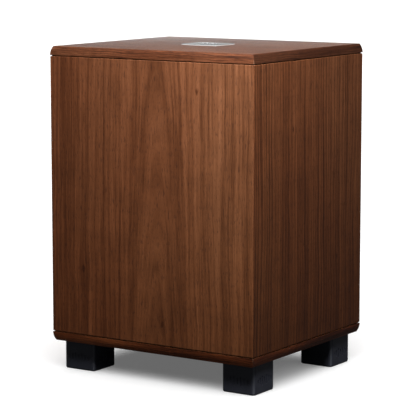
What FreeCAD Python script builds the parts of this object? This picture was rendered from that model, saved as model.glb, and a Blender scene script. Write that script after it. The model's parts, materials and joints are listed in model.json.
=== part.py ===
"""A compact active subwoofer: closed box, down-firing 250 mm driver, amplifier in the rear wall.

Millimetres. Z is up, the front faces -Y, and the origin is the centre of the bounding box's bottom face.
Each function builds one sub-part, and PARTS at the end maps every node's name to its solids.
"""
import FreeCAD, Part
import math
import os

V = FreeCAD.Vector
X_AXIS, Y_AXIS, Z_AXIS = V(1, 0, 0), V(0, 1, 0), V(0, 0, 1)
NEAR = 1e-6              # two places closer than this are the same
OVER = 1.0               # how far a cutting shape runs past what it cuts

# --- cabinet ---
WIDTH, DEPTH = 334.0, 291.0
FOOT_HEIGHT = 42.0
EDGE_T = 12.6            # visible edge of the lid and of the base board
GAP = 1.4                # shadow gap between a board and the walls
GAP_INSET = 2.0
PANEL_H = 388.0
WALL = 18.0
EDGE_ARC_R = 25.0        # radius of the boards' shaped edge
EDGE_BREAK = 0.6         # rounding where the shaped edge meets the flat
WALL_BREAK = 0.6         # chamfer along the walls' ends
CORNER_R = 1.0           # outer vertical corners of the walls
REAR_REACH = 14.0        # how far the knobs stand out behind the cabinet

CAB_Y = -REAR_REACH / 2  # the cabinet's centre line; the bounding box is centred on y = 0
FRONT_Y = CAB_Y - DEPTH / 2
REAR_Y = CAB_Y + DEPTH / 2
HALF_W = WIDTH / 2
BASE_Z = FOOT_HEIGHT
WALL_Z = BASE_Z + EDGE_T + GAP
LID_Z = WALL_Z + PANEL_H
TOP_Z = LID_Z + GAP + EDGE_T
INNER_X = HALF_W - WALL
INNER_FRONT_Y = FRONT_Y + WALL
INNER_REAR_Y = REAR_Y - WALL

# --- inside the cabinet ---
BRACE_Z, BRACE_T = 232.0, 15.0
BRACE_RIM, BRACE_SPINE, BRACE_WINDOW_R = 30.0, 24.0, 20.0
BRACE_NOTCH_W, BRACE_NOTCH_D = 190.0, 75.0           # room for the amplifier
BRACE_REAR_RIM = 100.0
WADDING_T, WADDING_Z0, WADDING_Z1, WADDING_R = 22.0, 262.0, 425.0, 9.0
WADDING_FRONT_W = 220.0
WADDING_SIDE_FRONT, WADDING_SIDE_REAR = 35.0, 60.0   # how far a side batt stops short of each inner wall

# --- badge ---
BADGE_W, BADGE_D, BADGE_T = 58.0, 49.0, 1.6
BADGE_BEVEL = 0.7
BADGE_CORNER = 1.5
BAR_LENGTHS = (1.1, 1.8, 2.5, 1.6, 2.5, 1.8, 1.1)    # the generic mark's bars, in multiples of their pitch
BAR_WIDTH = 0.5                                      # likewise
EMBLEM_PITCH, EMBLEM_T = 4.6, 0.5

# --- feet ---
FOOT_SIZE = 52.0
FOOT_INSET_X, FOOT_INSET_Y = 8.0, 16.0
FOOT_CORNER, FOOT_SOLE_R = 5.0, 2.5
FOOT_BORE_R, FOOT_BORE_DEPTH = 10.0, 28.0
FOOT_BOLT_R, FOOT_BOLT_LENGTH, BOLT_FIT = 3.0, 32.0, 0.2
BOLT_HEAD_R, BOLT_HEAD_H, BOLT_KEY, BOLT_KEY_DEPTH = 5.0, 6.0, 5.0, 3.1
WASHER_R, WASHER_T = 9.0, 1.6
MARK_PITCH, MARK_DEPTH, MARK_Z = 5.4, 0.7, 18.0
INSERT_R, INSERT_FLANGE_R, INSERT_FLANGE_T, INSERT_DEPTH = 4.5, 9.0, 1.5, 22.0

# --- driver, with heights h above the flange's outer face, measured into the cabinet ---
FLANGE_Z = BASE_Z + 0.5
FLANGE_R, FLANGE_T = 125.0, 4.5
GASKET_T = 1.5
RECESS_R = FLANGE_R + 0.75
RECESS_TOP = FLANGE_Z + FLANGE_T + GASKET_T
CUTOUT_R = 115.0
BAFFLE_T = 18.0
FRAME_WALL_R, FRAME_T = 113.5, 3.0
FRAME_BEND_H, LEDGE_R, LEDGE_H = 16.0, 79.0, 60.0    # the wall tapers from its bend to the spider's ledge
LEDGE_IN_R, LEDGE_TOP_H = 75.0, 66.0
NECK_R, NECK_BORE_R = 66.0, 30.0
WINDOW_H0, WINDOW_H1 = 20.0, 57.0                    # the windows between the frame's spokes
SPOKE_HALF_ANGLE = 7.0
SHELF_IN_R, SHELF_OUT_R, SHELF_H = 100.0, 111.0, 2.5
LIP_FIT = 0.3
TRIM_LIP, TRIM_BEVEL, TRIM_SET_BACK = 2.0, 0.8, 0.2
SURROUND_T = 1.2
ARC_STEPS = 16
ROLL_IN_R, ROLL_OUT_R = 80.0, 102.0
CONE_IN_R = 73.0
CONE_NECK_H = 38.0
CONE_T, CONE_NECK_T = 1.6, 2.08
FORMER_R, FORMER_T, FORMER_TOP_H = 25.4, 0.4, 104.0
COIL_T, COIL_LOW_H = 2.0, 76.0
CAP_R, CAP_DEPTH, CAP_T = 40.0, 9.0, 1.1
DOME_STEPS = 12
SPIDER_H, SPIDER_T = 62.2, 0.8
SPIDER_WAVE, SPIDER_PITCH, SPIDER_STEPS = 2.2, 8.5, 34
SPIDER_WAVE_IN, SPIDER_WAVE_OUT, SPIDER_OUT_R = 30.0, 64.0, 74.5
PLATE_LOW_H, PLATE_T, PLATE_R, PLATE_BORE_R = 86.0, 8.0, 62.0, 28.0
MAGNET_T, MAGNET_R, MAGNET_BORE_R = 32.0, 70.0, 36.0
MAGNET_BACK_H = PLATE_LOW_H + PLATE_T + MAGNET_T
YOKE_T, POLE_R, VENT_R, POLE_REACH = 8.0, 24.5, 10.0, 3.0
SPOKES = 6
DRIVER_SCREWS, SCREW_CIRCLE_R = 8, 118.5
M5_R, M5_HEAD_R, M5_HEAD_H, M5_HEAD_ROUND, M5_FIT = 2.5, 4.5, 3.0, 1.2, 0.3
M5_KEY, M5_KEY_DEPTH = 3.0, 1.9
TEE_R, TEE_FLANGE_R, TEE_FLANGE_T, TEE_DEPTH = 3.3, 7.5, 1.2, 12.0
TERMINAL_X, TERMINAL_Y, TERMINAL_Z = 8.0, CAB_Y + 97.0, FLANGE_Z + 46.0
STRIP_W, STRIP_T, STRIP_H = 28.0, 3.0, 16.0
STRIP_FOOT, STRIP_FOOT_LOW, STRIP_FOOT_HIGH = 12.0, -7.5, -3.5
TAG_W, TAG_T, TAG_LOW, TAG_HIGH = 4.8, 0.8, -4.0, 12.0
LEAD_X, LEAD_R, LEAD_BEND, LEAD_TAG_DROP, LEAD_TAG_OUT = -36.0, 1.5, 9.0, 3.0, 5.4
TINSEL_R, TINSEL_BEND, TINSEL_END_R = 0.8, 5.0, 48.0
TINSEL_X0, TINSEL_X1, TINSEL_X2 = 13.0, 22.0, 20.9
TINSEL_RISE, TINSEL_OUT, TINSEL_END_Y, TINSEL_END_H = 5.0, 12.0, 43.0, 3.2

# --- amplifier ---
AMP_W, AMP_H, AMP_T = 190.0, 290.0, 3.0
AMP_Z = 268.0
AMP_CORNER, AMP_EDGE_BREAK = 4.5, 0.4
AMP_GASKET_T, AMP_GASKET_RIM = 2.0, 12.0
AMP_CUT_W, AMP_CUT_H, AMP_CUT_CORNER = 166.0, 266.0, 6.0
AMP_FIT = 0.5
PLATE_IN_Y = REAR_Y - AMP_T
KNOB_X = 60.0
KNOB_ZS = (370.0, 330.0, 290.0)
KNOB_NAMES = ("lfe_level_knob", "level_knob", "crossover_knob")
TOGGLE_Z = 254.0
TOGGLE_TILT = 12.0
TOGGLE_PIVOT_Y = REAR_Y + 1.0
TOGGLE_CASE_W, TOGGLE_CASE_H, TOGGLE_CASE_D = 8.0, 13.0, 9.0
TOGGLE_BUSH_R, TOGGLE_BUSH_REACH, TOGGLE_WELL_R, TOGGLE_WELL_DEPTH = 3.0, 4.5, 1.75, 3.0
TOGGLE_MOUTH_R, TOGGLE_MOUTH_REACH = 2.75, 4.6
TOGGLE_BALL_R, TOGGLE_NECK_R, TOGGLE_TIP_R, TOGGLE_REACH = 1.6, 1.1, 2.2, 9.0
TOGGLE_PIN_R, TOGGLE_PIN_LENGTH, TOGGLE_PIN_FIT = 0.5, 5.0, 0.1
TOGGLE_NUT, TOGGLE_NUT_T = 8.0, 1.8
LED_XZ, LED_R, LED_REACH = (60.0, 394.0), 1.5, 0.5
PANEL_FIT = 0.1          # clearance round what passes through the plate
SOCKET_XZ = (-30.0, 366.0)
JACK_XZ = ((-8.0, 316.0), (-34.0, 316.0), (-60.0, 316.0))
INLET_XZ = (-58.0, 170.0)
ROCKER_XZ = (-58.0, 220.0)
TRANSFORMER_XZ = (28.0, 190.0)
AMP_SCREW_R, AMP_SCREW_LENGTH, AMP_SCREW_INSET, AMP_SCREW_FIT = 1.6, 17.0, 6.0, 0.6
AMP_SCREW_HEAD_R, AMP_SCREW_HEAD_H = 3.8, 2.4
BOARD_X0, BOARD_X1 = -80.0, 30.0
BOARD_Z0, BOARD_Z1 = 262.0, 396.0
BOARD_STANDOFF, BOARD_T = 24.0, 1.6
POT_R, POT_DEPTH, POT_FLOOR, POT_NUT, POT_NUT_T = 8.5, 9.0, 2.0, 10.0, 2.0
BEYOND = REAR_Y + 25.0    # well outside the plate
INPUT_BOARD_GAP, INPUT_BOARD_Z0, INPUT_BOARD_Z1, INPUT_BOARD_W = 1.0, 243.0, 398.0, 36.0
HEADER_W, HEADER_H, HEADER_Z0, HEADER_LENGTH = 6.0, 8.0, 300.0, 30.0
POT_BUSH_R, POT_BUSH_REACH = 3.5, 4.2
SHAFT_R, SHAFT_CLEARANCE = 3.0, 0.05
KNOB_R, KNOB_GAP = 11.0, 0.8
KNOB_SKIRT_H, KNOB_TAPER_R0, KNOB_TAPER_R1, KNOB_ROUND = 3.0, 9.6, 8.6, 0.8
KNOB_HOLLOW_R, KNOB_HOLLOW_H, KNOB_BORE_H = 6.9, 4.0, 10.5
FLUTES, FLUTE_R = 18, 0.75
POINTER_W, POINTER_DEPTH, POINTER_START = 1.0, 0.6, 2.5
ROCKER_R, ROCKER_W, ROCKER_TILT = 9.6, 11.0, 8.0
ROCKER_PIVOT_Y, ROCKER_RISE, ROCKER_FIT = REAR_Y - 2.5, 4.6, 0.25
BEZEL_W, BEZEL_H, BEZEL_T, BEZEL_R = 17.0, 25.0, 1.6, 1.5
ROCKER_TAB_X, ROCKER_TAB_T, ROCKER_TAB_W, ROCKER_TAB_LENGTH = 4.0, 0.8, 6.0, 8.0
ROCKER_FAR, ROCKER_LOW = 12.0, 5.0
ROCKER_CASE_W, ROCKER_CASE_H, ROCKER_CASE_D = 13.3, 21.2, 16.0
DRAWER_W, DRAWER_H, DRAWER_DEPTH, DRAWER_FIT, DRAWER_PROUD = 20.0, 9.0, 22.0, 0.2, 1.6
DRAWER_DROP = 14.0       # the drawer's middle below the inlet's
FUSE_R, FUSE_LENGTH, FUSE_GAP = 2.6, 17.4, 0.1
DRAWER_WALL, FINGER_W, FINGER_H = 1.2, 8.0, 1.6
POCKET_Y0, POCKET_Y1, POCKET_DROP = 3.0, 9.0, 3.0
INLET_W, INLET_H, INLET_FLANGE_T, INLET_FLANGE_R = 31.0, 50.0, 2.2, 2.5
INLET_CASE_W, INLET_CASE_H, INLET_CASE_D = 26.8, 45.8, 23.0
CAVITY_W, CAVITY_H, CAVITY_CUT, CAVITY_DEPTH, CAVITY_RISE = 24.2, 16.5, 4.5, 16.5, 10.5
PIN_PLACES = ((-7.0, -2.0), (7.0, -2.0), (0.0, 2.6))
PIN_W, PIN_H, PIN_SET_BACK, PIN_TAIL = 2.0, 4.0, 1.5, 31.0
JACK_R, JACK_BORE_R, JACK_LENGTH, JACK_TAIL = 4.15, 3.35, 22.0, 9.5
JACK_PIN_R, JACK_PIN_DEPTH, JACK_PIN_BORE, JACK_WASHER_R = 1.65, 1.5, 12.0, 4.6
JACK_COLLAR, JACK_COLLAR_T, JACK_NUT, JACK_NUT_T = 12.0, 2.0, 11.0, 2.2
SOCKET_FLANGE, SOCKET_FLANGE_T, SOCKET_FLANGE_R = 30.0, 2.6, 3.0
SOCKET_R, SOCKET_DEPTH, SOCKET_HOLLOW_R, SOCKET_POST_R, SOCKET_FLOOR = 12.5, 20.0, 11.4, 5.5, 15.4
SOCKET_SCREW_AT, SOCKET_SCREW_LENGTH = 12.0, 8.0
SOCKET_KEY_W, SOCKET_KEY_H, SOCKET_KEY_Z = 3.2, 2.0, 10.0
SOCKET_BORE_R, SOCKET_BORE_DEPTH = 1.8, 8.0
HEATSINK_Z, HEATSINK_REACH, HEATSINK_T, HEATSINK_FOOT_X, HEATSINK_FOOT_H = 252.0, 46.0, 4.0, -20.0, 14.0
FINS, FIN_PITCH, FIN_T, FIN_H = 6, 9.0, 2.0, 8.0
CHIPS, CHIP_PITCH, CHIP_X0, CHIP_W, CHIP_H = 4, 22.0, -66.0, 15.8, 5.0
CHIP_NEAR, CHIP_FAR = 27.0, 44.0
CAP_LARGE_R, CAP_LARGE_H, CAP_LARGE_XS, CAP_LARGE_ZS = 15.0, 42.0, (-58.0, -24.0), (376.0, 342.0)
CAP_SMALL_R, CAP_SMALL_H, CAP_SMALL_XS, CAP_SMALL_Z = 5.0, 16.0, (-66.0, -52.0, -38.0, -24.0, -10.0), 312.0
CORE_R, CORE_BORE_R, CORE_T, CORE_ROUND, CORE_STAND_OFF = 49.0, 16.0, 46.0, 9.0, 1.0
DISH_R, DISH_T, PAD_R = 30.0, 1.5, 44.0
CORE_BOLT_R, CORE_BOLT_FIT, CORE_NUT, CORE_NUT_T = 3.0, 0.2, 10.0, 4.4
CORE_HEAD_R, CORE_HEAD_H, CORE_KEY, CORE_KEY_DEPTH = 5.5, 3.2, 4.0, 2.3
M3_R, M3_HEAD_R, M3_HEAD_H, M3_FIT = 1.5, 2.9, 1.8, 0.2
SPACER_FLATS, SPACER_SCREW, BOARD_SCREW = 6.0, 9.0, 8.0
PAN_ROUND, PAN_SLOT = 0.55, 1.2    # shares of a pan head's height and radius
BOARD_Y = PLATE_IN_Y - BOARD_STANDOFF
BOARD_HOLE_INSET = 5.0


# ---------------------------------------------------------------- shape helpers
def box(x0, x1, y0, y1, z0, z1):
    return Part.makeBox(x1 - x0, y1 - y0, z1 - z0, V(x0, y0, z0))


def cyl(r, length, base, axis=Z_AXIS):
    return Part.makeCylinder(r, length, base, axis)


def tube(r_out, r_in, length, base, axis=Z_AXIS):
    return cyl(r_out, length, base, axis).cut(cyl(r_in, length, base, axis))


def face_of(points):
    return Part.Face(Part.makePolygon([*points, points[0]]))


def edges_at(shape, axis, value):
    """The edges whose ends all lie at one distance along an axis."""
    return [e for e in shape.Edges
            if e.Vertexes and all(abs(v.Point.dot(axis) - value) < NEAR for v in e.Vertexes)]


def turned(profile, x, y, z):
    """A closed (radius, height) outline turned about the vertical through x, y; heights count from z."""
    points = [V(x + r, y, z + h) for r, h in profile]
    return face_of(points).revolve(V(x, y, 0), Z_AXIS, 360)


def arc_points(r0, h0, r1, h1, bulge, count):
    """Points along a circular arc from (r0, h0) to (r1, h1) that rises by bulge at its middle."""
    half = math.hypot(r1 - r0, h1 - h0) / 2
    radius = (half * half + bulge * bulge) / (2 * abs(bulge))
    span = 2 * math.asin(min(1.0, half / radius))
    ux, uy = (r1 - r0) / (2 * half), (h1 - h0) / (2 * half)
    sign = math.copysign(1.0, bulge)
    found = []
    for i in range(count + 1):
        a = -span / 2 + span * i / count
        along = radius * math.sin(a) + half
        rise = sign * (radius * math.cos(a) - (radius - abs(bulge)))
        found.append((r0 + ux * along - uy * rise, h0 + uy * along + ux * rise))
    return found


def rounded_block(x0, x1, y0, y1, z0, z1, r, axis=Z_AXIS):
    """A block whose edges along one axis are rounded."""
    block = box(x0, x1, y0, y1, z0, z1)
    edges = [e for e in block.Edges if abs(e.tangentAt(e.FirstParameter).dot(axis)) > 0.99]
    return block.makeFillet(r, edges)


def around(shape, count, x, y, start=0.0):
    """Copies of a shape evenly spaced about the vertical line through x, y."""
    found = []
    for i in range(count):
        copy = shape.copy()
        copy.rotate(V(x, y, 0), Z_AXIS, start + 360.0 * i / count)
        found.append(copy)
    return found


def cut_all(shape, tools):
    return shape.cut(Part.makeCompound(list(tools)))


def hexagon(flats, length, base, axis):
    r = flats / math.sqrt(3)
    points = [V(r * math.cos(math.radians(60 * i)), r * math.sin(math.radians(60 * i)), 0) for i in range(6)]
    solid = face_of(points).extrude(V(0, 0, length))
    solid.Placement = FreeCAD.Placement(base, FreeCAD.Rotation(Z_AXIS, axis))
    return solid


def rounded_path(points, radius):
    """A wire of straight runs joined by tangent arcs of one radius."""
    edges, last = [], points[0]
    for before, corner, after in zip(points, points[1:], points[2:]):
        u, w = (before - corner).normalize(), (after - corner).normalize()
        half = math.acos(max(-1.0, min(1.0, u.dot(w)))) / 2
        back = radius / math.tan(half)
        a, b = corner + u * back, corner + w * back
        middle_dir = (u + w).normalize()
        middle = corner + middle_dir * (radius / math.sin(half) - radius)
        edges.append(Part.LineSegment(last, a).toShape())
        edges.append(Part.Arc(a, middle, b).toShape())
        last = b
    edges.append(Part.LineSegment(last, points[-1]).toShape())
    return Part.Wire(edges)


def lead(points, radius, bend):
    """A round insulated wire along straight runs and arcs."""
    path = rounded_path(points, bend)
    start, direction = points[0], (points[1] - points[0]).normalize()
    ring = Part.Wire([Part.makeCircle(radius, start, direction)])
    return path.makePipeShell([ring], True, False)


# ---------------------------------------------------------------- cabinet
def edge_profile(half, z_flat, z_edge):
    """Half-width of a board's shaped edge, as an arc from the flat face's rim to the upright outer edge."""
    inset = EDGE_ARC_R - math.sqrt(EDGE_ARC_R ** 2 - EDGE_T ** 2)
    sign = 1 if z_flat > z_edge else -1
    middle_h = EDGE_T / 2
    middle_inset = EDGE_ARC_R - math.sqrt(EDGE_ARC_R ** 2 - middle_h ** 2)
    return (half - inset, z_flat), (half - middle_inset, z_edge + sign * middle_h), (half, z_edge)


def shaped_slab(z_flat, z_edge):
    """A board with the shaped edge on all four sides and mitred corners: two crossed extrusions."""
    def section(half, place):
        rim, middle, edge = (place(a, z) for a, z in edge_profile(half, z_flat, z_edge))
        rim2, middle2, edge2 = (place(-a, z) for a, z in edge_profile(half, z_flat, z_edge))
        return Part.Face(Part.Wire([
            Part.Arc(rim, middle, edge).toShape(),
            Part.LineSegment(edge, edge2).toShape(),
            Part.Arc(edge2, middle2, rim2).toShape(),
            Part.LineSegment(rim2, rim).toShape(),
        ]))
    across = section(HALF_W, lambda a, z: V(a, FRONT_Y, z)).extrude(V(0, DEPTH, 0))
    along = section(DEPTH / 2, lambda a, z: V(-HALF_W, CAB_Y + a, z)).extrude(V(WIDTH, 0, 0))
    slab = across.common(along)
    return slab.makeFillet(EDGE_BREAK, edges_at(slab, Z_AXIS, z_flat))


def gap_neck(z0, z1):
    """The narrower step between a board and the walls, seen as the shadow gap."""
    return box(-HALF_W + GAP_INSET, HALF_W - GAP_INSET, FRONT_Y + GAP_INSET, REAR_Y - GAP_INSET, z0, z1)


def foot_corners():
    """(x sign, y sign, low x, low y) of each foot's block."""
    for sy in (-1, 1):
        for sx in (-1, 1):
            x = sx * (HALF_W - FOOT_INSET_X - FOOT_SIZE / 2)
            y = CAB_Y + sy * (DEPTH / 2 - FOOT_INSET_Y - FOOT_SIZE / 2)
            yield sx, sy, x, y


def base_board():
    board = shaped_slab(BASE_Z, BASE_Z + EDGE_T).fuse(gap_neck(BASE_Z + EDGE_T, WALL_Z)).removeSplitter()
    low, height = BASE_Z - OVER, WALL_Z - BASE_Z + 2 * OVER
    tools = [cyl(RECESS_R, RECESS_TOP - low, V(0, CAB_Y, low)), cyl(CUTOUT_R, height, V(0, CAB_Y, low))]
    tools += screw_clearances(M5_R + M5_FIT, BASE_Z, WALL_Z)
    tools += [cyl(INSERT_R, height, V(x, y, low)) for _, _, x, y in foot_corners()]
    return cut_all(board, tools)


def screw_clearances(r, z0, z1):
    one = cyl(r, z1 - z0 + 2 * OVER, V(SCREW_CIRCLE_R, CAB_Y, z0 - OVER))
    return around(one, DRIVER_SCREWS, 0, CAB_Y, 180.0 / DRIVER_SCREWS)


def driver_baffle():
    z0, z1 = WALL_Z, WALL_Z + BAFFLE_T
    board = box(-INNER_X, INNER_X, INNER_FRONT_Y, INNER_REAR_Y, z0, z1)
    low, height = z0 - OVER, BAFFLE_T + 2 * OVER
    tools = [cyl(CUTOUT_R, height, V(0, CAB_Y, low))]
    tools += screw_clearances(TEE_R, z0, z1)
    seat = cyl(TEE_FLANGE_R, TEE_FLANGE_T + OVER, V(SCREW_CIRCLE_R, CAB_Y, z1 - TEE_FLANGE_T))
    tools += around(seat, DRIVER_SCREWS, 0, CAB_Y, 180.0 / DRIVER_SCREWS)
    for _, _, x, y in foot_corners():
        tools.append(cyl(INSERT_R, height, V(x, y, low)))
        tools.append(cyl(INSERT_FLANGE_R, INSERT_FLANGE_T + OVER, V(x, y, z1 - INSERT_FLANGE_T)))
    return cut_all(board, tools)


def top_lid():
    return shaped_slab(TOP_Z, TOP_Z - EDGE_T).fuse(gap_neck(LID_Z, LID_Z + GAP)).removeSplitter()


def wall_ring():
    """All four walls as one ring, with broken outer corners and edges."""
    outer = rounded_block(-HALF_W, HALF_W, FRONT_Y, REAR_Y, WALL_Z, LID_Z, CORNER_R)
    outer = outer.makeChamfer(WALL_BREAK, edges_at(outer, Z_AXIS, WALL_Z) + edges_at(outer, Z_AXIS, LID_Z))
    return outer.cut(box(-INNER_X, INNER_X, INNER_FRONT_Y, INNER_REAR_Y, WALL_Z, LID_Z))


def wall(side):
    """One mitred wall: the part of the ring inside its own wedge."""
    a, b = HALF_W + OVER, DEPTH / 2 + OVER
    c, d = HALF_W - WALL, DEPTH / 2 - WALL
    corners = {
        "front": [(-a, -b), (a, -b), (c, -d), (-c, -d)],
        "right": [(a, -b), (a, b), (c, d), (c, -d)],
        "rear": [(a, b), (-a, b), (-c, d), (c, d)],
        "left": [(-a, b), (-a, -b), (-c, -d), (-c, d)],
    }[side]
    wedge = face_of([V(x, CAB_Y + y, WALL_Z) for x, y in corners]).extrude(V(0, 0, PANEL_H))
    return wall_ring().common(wedge)


def rear_panel():
    panel = wall("rear")
    cut = rounded_block(-AMP_CUT_W / 2, AMP_CUT_W / 2, INNER_REAR_Y - OVER, REAR_Y + OVER,
                        AMP_Z - AMP_CUT_H / 2, AMP_Z + AMP_CUT_H / 2, AMP_CUT_CORNER, Y_AXIS)
    w, h = AMP_W / 2 + AMP_FIT, AMP_H / 2 + AMP_FIT
    rebate = rounded_block(-w, w, PLATE_IN_Y - AMP_GASKET_T, REAR_Y + OVER, AMP_Z - h, AMP_Z + h,
                           AMP_CORNER + AMP_FIT, Y_AXIS)
    pilots = [cyl(AMP_SCREW_R, AMP_SCREW_LENGTH - AMP_T, V(x, REAR_Y - AMP_SCREW_LENGTH, z), Y_AXIS)
              for x, z in amp_screw_places()]
    return cut_all(panel, [cut, rebate, *pilots])


def window_brace():
    """A shelf brace half way up, open in the middle and notched at the rear for the amplifier."""
    brace = box(-INNER_X, INNER_X, INNER_FRONT_Y, INNER_REAR_Y, BRACE_Z, BRACE_Z + BRACE_T)
    z0, z1 = BRACE_Z - OVER, BRACE_Z + BRACE_T + OVER
    half = BRACE_NOTCH_W / 2
    notch = box(-half, half, INNER_REAR_Y - BRACE_NOTCH_D, INNER_REAR_Y + OVER, z0, z1)
    windows = []
    for side in (-1, 1):
        x0, x1 = sorted((side * BRACE_SPINE / 2, side * (INNER_X - BRACE_RIM)))
        y0, y1 = INNER_FRONT_Y + BRACE_RIM, INNER_REAR_Y - BRACE_REAR_RIM
        windows.append(rounded_block(x0, x1, y0, y1, z0, z1, BRACE_WINDOW_R))
    return cut_all(brace, [notch, *windows])


def wadding_pads():
    """Three batts of polyester wadding, glued to the front and side walls above the brace."""
    z0, z1, half = WADDING_Z0, WADDING_Z1, WADDING_FRONT_W / 2
    batts = [rounded_block(-half, half, INNER_FRONT_Y, INNER_FRONT_Y + WADDING_T, z0, z1, WADDING_R, Y_AXIS)]
    y0, y1 = INNER_FRONT_Y + WADDING_SIDE_FRONT, INNER_REAR_Y - WADDING_SIDE_REAR
    for side in (-1, 1):
        x0, x1 = sorted((side * INNER_X, side * (INNER_X - WADDING_T)))
        batts.append(rounded_block(x0, x1, y0, y1, z0, z1, WADDING_R, X_AXIS))
    return batts


# ---------------------------------------------------------------- badge and feet
def bars_mark(pitch, depth):
    """The generic mark: upright bars in a row, flat in the XY plane, centred, standing up by depth."""
    half_w = pitch * BAR_WIDTH / 2
    found = []
    for i, length in enumerate(BAR_LENGTHS):
        x = (i - (len(BAR_LENGTHS) - 1) / 2) * pitch
        half_l = pitch * length / 2
        found.append(rounded_block(x - half_w, x + half_w, -half_l, half_l, 0, depth, half_w * 0.9))
    return found


def badge_plate():
    w, d = BADGE_W / 2, BADGE_D / 2
    plate = rounded_block(-w, w, CAB_Y - d, CAB_Y + d, TOP_Z, TOP_Z + BADGE_T, BADGE_CORNER)
    return plate.makeChamfer(BADGE_BEVEL, edges_at(plate, Z_AXIS, TOP_Z + BADGE_T))


def badge_emblem():
    found = []
    for bar in bars_mark(EMBLEM_PITCH, EMBLEM_T):
        bar.translate(V(0, CAB_Y, TOP_Z + BADGE_T))
        found.append(bar)
    return found


def foot(x, y):
    half = FOOT_SIZE / 2
    block = rounded_block(x - half, x + half, y - half, y + half, 0, FOOT_HEIGHT, FOOT_CORNER)
    block = block.makeFillet(FOOT_SOLE_R, edges_at(block, Z_AXIS, 0))
    tools = [cyl(FOOT_BORE_R, FOOT_BORE_DEPTH, V(x, y, 0))]
    tools.append(cyl(FOOT_BOLT_R + BOLT_FIT, FOOT_HEIGHT, V(x, y, 0)))
    for turn in range(4):
        for bar in bars_mark(MARK_PITCH, MARK_DEPTH + OVER):
            bar.rotate(V(0, 0, 0), X_AXIS, 90)
            bar.translate(V(0, -half + MARK_DEPTH, MARK_Z))
            bar.rotate(V(0, 0, 0), Z_AXIS, 90 * turn)
            bar.translate(V(x, y, 0))
            tools.append(bar)
    return cut_all(block, tools)


def foot_bolts():
    """A hexagon-socket bolt and its washer for each foot."""
    found = []
    for _, _, x, y in foot_corners():
        seat = FOOT_BORE_DEPTH - WASHER_T
        washer = tube(WASHER_R, FOOT_BOLT_R + BOLT_FIT, WASHER_T, V(x, y, seat))
        head = cyl(BOLT_HEAD_R, BOLT_HEAD_H, V(x, y, seat - BOLT_HEAD_H))
        bolt = head.fuse(cyl(FOOT_BOLT_R, FOOT_BOLT_LENGTH, V(x, y, seat)))
        key = hexagon(BOLT_KEY, BOLT_KEY_DEPTH + OVER, V(x, y, seat - BOLT_HEAD_H - OVER), Z_AXIS)
        found += [washer, bolt.cut(key)]
    return found


def foot_inserts():
    """Flanged threaded inserts, let into the baffle from inside the cabinet."""
    z1 = WALL_Z + BAFFLE_T
    found = []
    for _, _, x, y in foot_corners():
        barrel = cyl(INSERT_R, INSERT_DEPTH, V(x, y, z1 - INSERT_DEPTH))
        flange = cyl(INSERT_FLANGE_R, INSERT_FLANGE_T, V(x, y, z1 - INSERT_FLANGE_T))
        bore = cyl(FOOT_BOLT_R, INSERT_DEPTH + 2 * OVER, V(x, y, z1 - INSERT_DEPTH - OVER))
        found.append(barrel.fuse(flange).cut(bore))
    return found


# ---------------------------------------------------------------- driver
def driver_frame():
    """The basket: a flange, six spokes, the spider's ledge and a neck that carries the magnet."""
    platform_h = PLATE_LOW_H
    wall_in, neck_in = FRAME_WALL_R - FRAME_T, NECK_R - FRAME_T
    spider_top = SPIDER_H + SPIDER_T
    profile = [
        (FLANGE_R, 0), (FLANGE_R, FLANGE_T), (FRAME_WALL_R, FLANGE_T), (FRAME_WALL_R, FRAME_BEND_H),
        (LEDGE_R, LEDGE_H), (LEDGE_R, LEDGE_TOP_H),
        (NECK_R, LEDGE_TOP_H), (NECK_R, platform_h), (NECK_BORE_R, platform_h),
        (NECK_BORE_R, platform_h - FRAME_T), (neck_in, platform_h - FRAME_T), (neck_in, spider_top),
        (LEDGE_IN_R, spider_top), (LEDGE_IN_R, LEDGE_H),
        (wall_in, FRAME_BEND_H + 0.5),
        (wall_in, FLANGE_T),
        (SHELF_IN_R, FLANGE_T), (SHELF_IN_R, SHELF_H), (SHELF_OUT_R, SHELF_H), (SHELF_OUT_R, 0),
    ]
    frame = turned(profile, 0, CAB_Y, FLANGE_Z)
    half, reach, z0 = math.radians(180.0 / SPOKES - SPOKE_HALF_ANGLE), FLANGE_R + 15, FLANGE_Z + WINDOW_H0
    wedge = face_of([
        V(0, CAB_Y, z0),
        V(reach * math.cos(half), CAB_Y - reach * math.sin(half), z0),
        V(reach * math.cos(half), CAB_Y + reach * math.sin(half), z0),
    ]).extrude(V(0, 0, WINDOW_H1 - WINDOW_H0))
    windows = around(wedge, SPOKES, 0, CAB_Y)
    holes = screw_clearances(M5_R + M5_FIT, FLANGE_Z, FLANGE_Z + FLANGE_T)
    return cut_all(frame, [*windows, *holes])


def driver_gasket():
    ring = tube(FLANGE_R, CUTOUT_R, GASKET_T, V(0, CAB_Y, FLANGE_Z + FLANGE_T))
    z0 = FLANGE_Z + FLANGE_T
    return cut_all(ring, screw_clearances(M5_R + M5_FIT, z0, z0 + GASKET_T))


def trim_ring():
    """The ring that covers the surround's glued lip, level with the flange."""
    low = SHELF_H - SURROUND_T
    inner, outer = ROLL_OUT_R + TRIM_LIP, SHELF_OUT_R - LIP_FIT
    profile = [(inner, low), (outer, low), (outer, TRIM_SET_BACK), (inner + TRIM_BEVEL, 0)]
    return turned(profile, 0, CAB_Y, FLANGE_Z)


def driver_surround():
    """A half-roll between two flat lips."""
    low, high = SHELF_H - SURROUND_T, SHELF_H
    roll, lip, t = (ROLL_OUT_R - ROLL_IN_R) / 2, SHELF_OUT_R - LIP_FIT, SURROUND_T
    outer = arc_points(ROLL_OUT_R, low, ROLL_IN_R, low, roll - 0.01, ARC_STEPS)
    inner = arc_points(ROLL_IN_R + t, high, ROLL_OUT_R - t, high, t / 2 - roll, ARC_STEPS)
    profile = [(lip, high), (lip, low), *outer, (CONE_IN_R, low), (CONE_IN_R, high), *inner]
    return turned(profile, 0, CAB_Y, FLANGE_Z)


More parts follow.
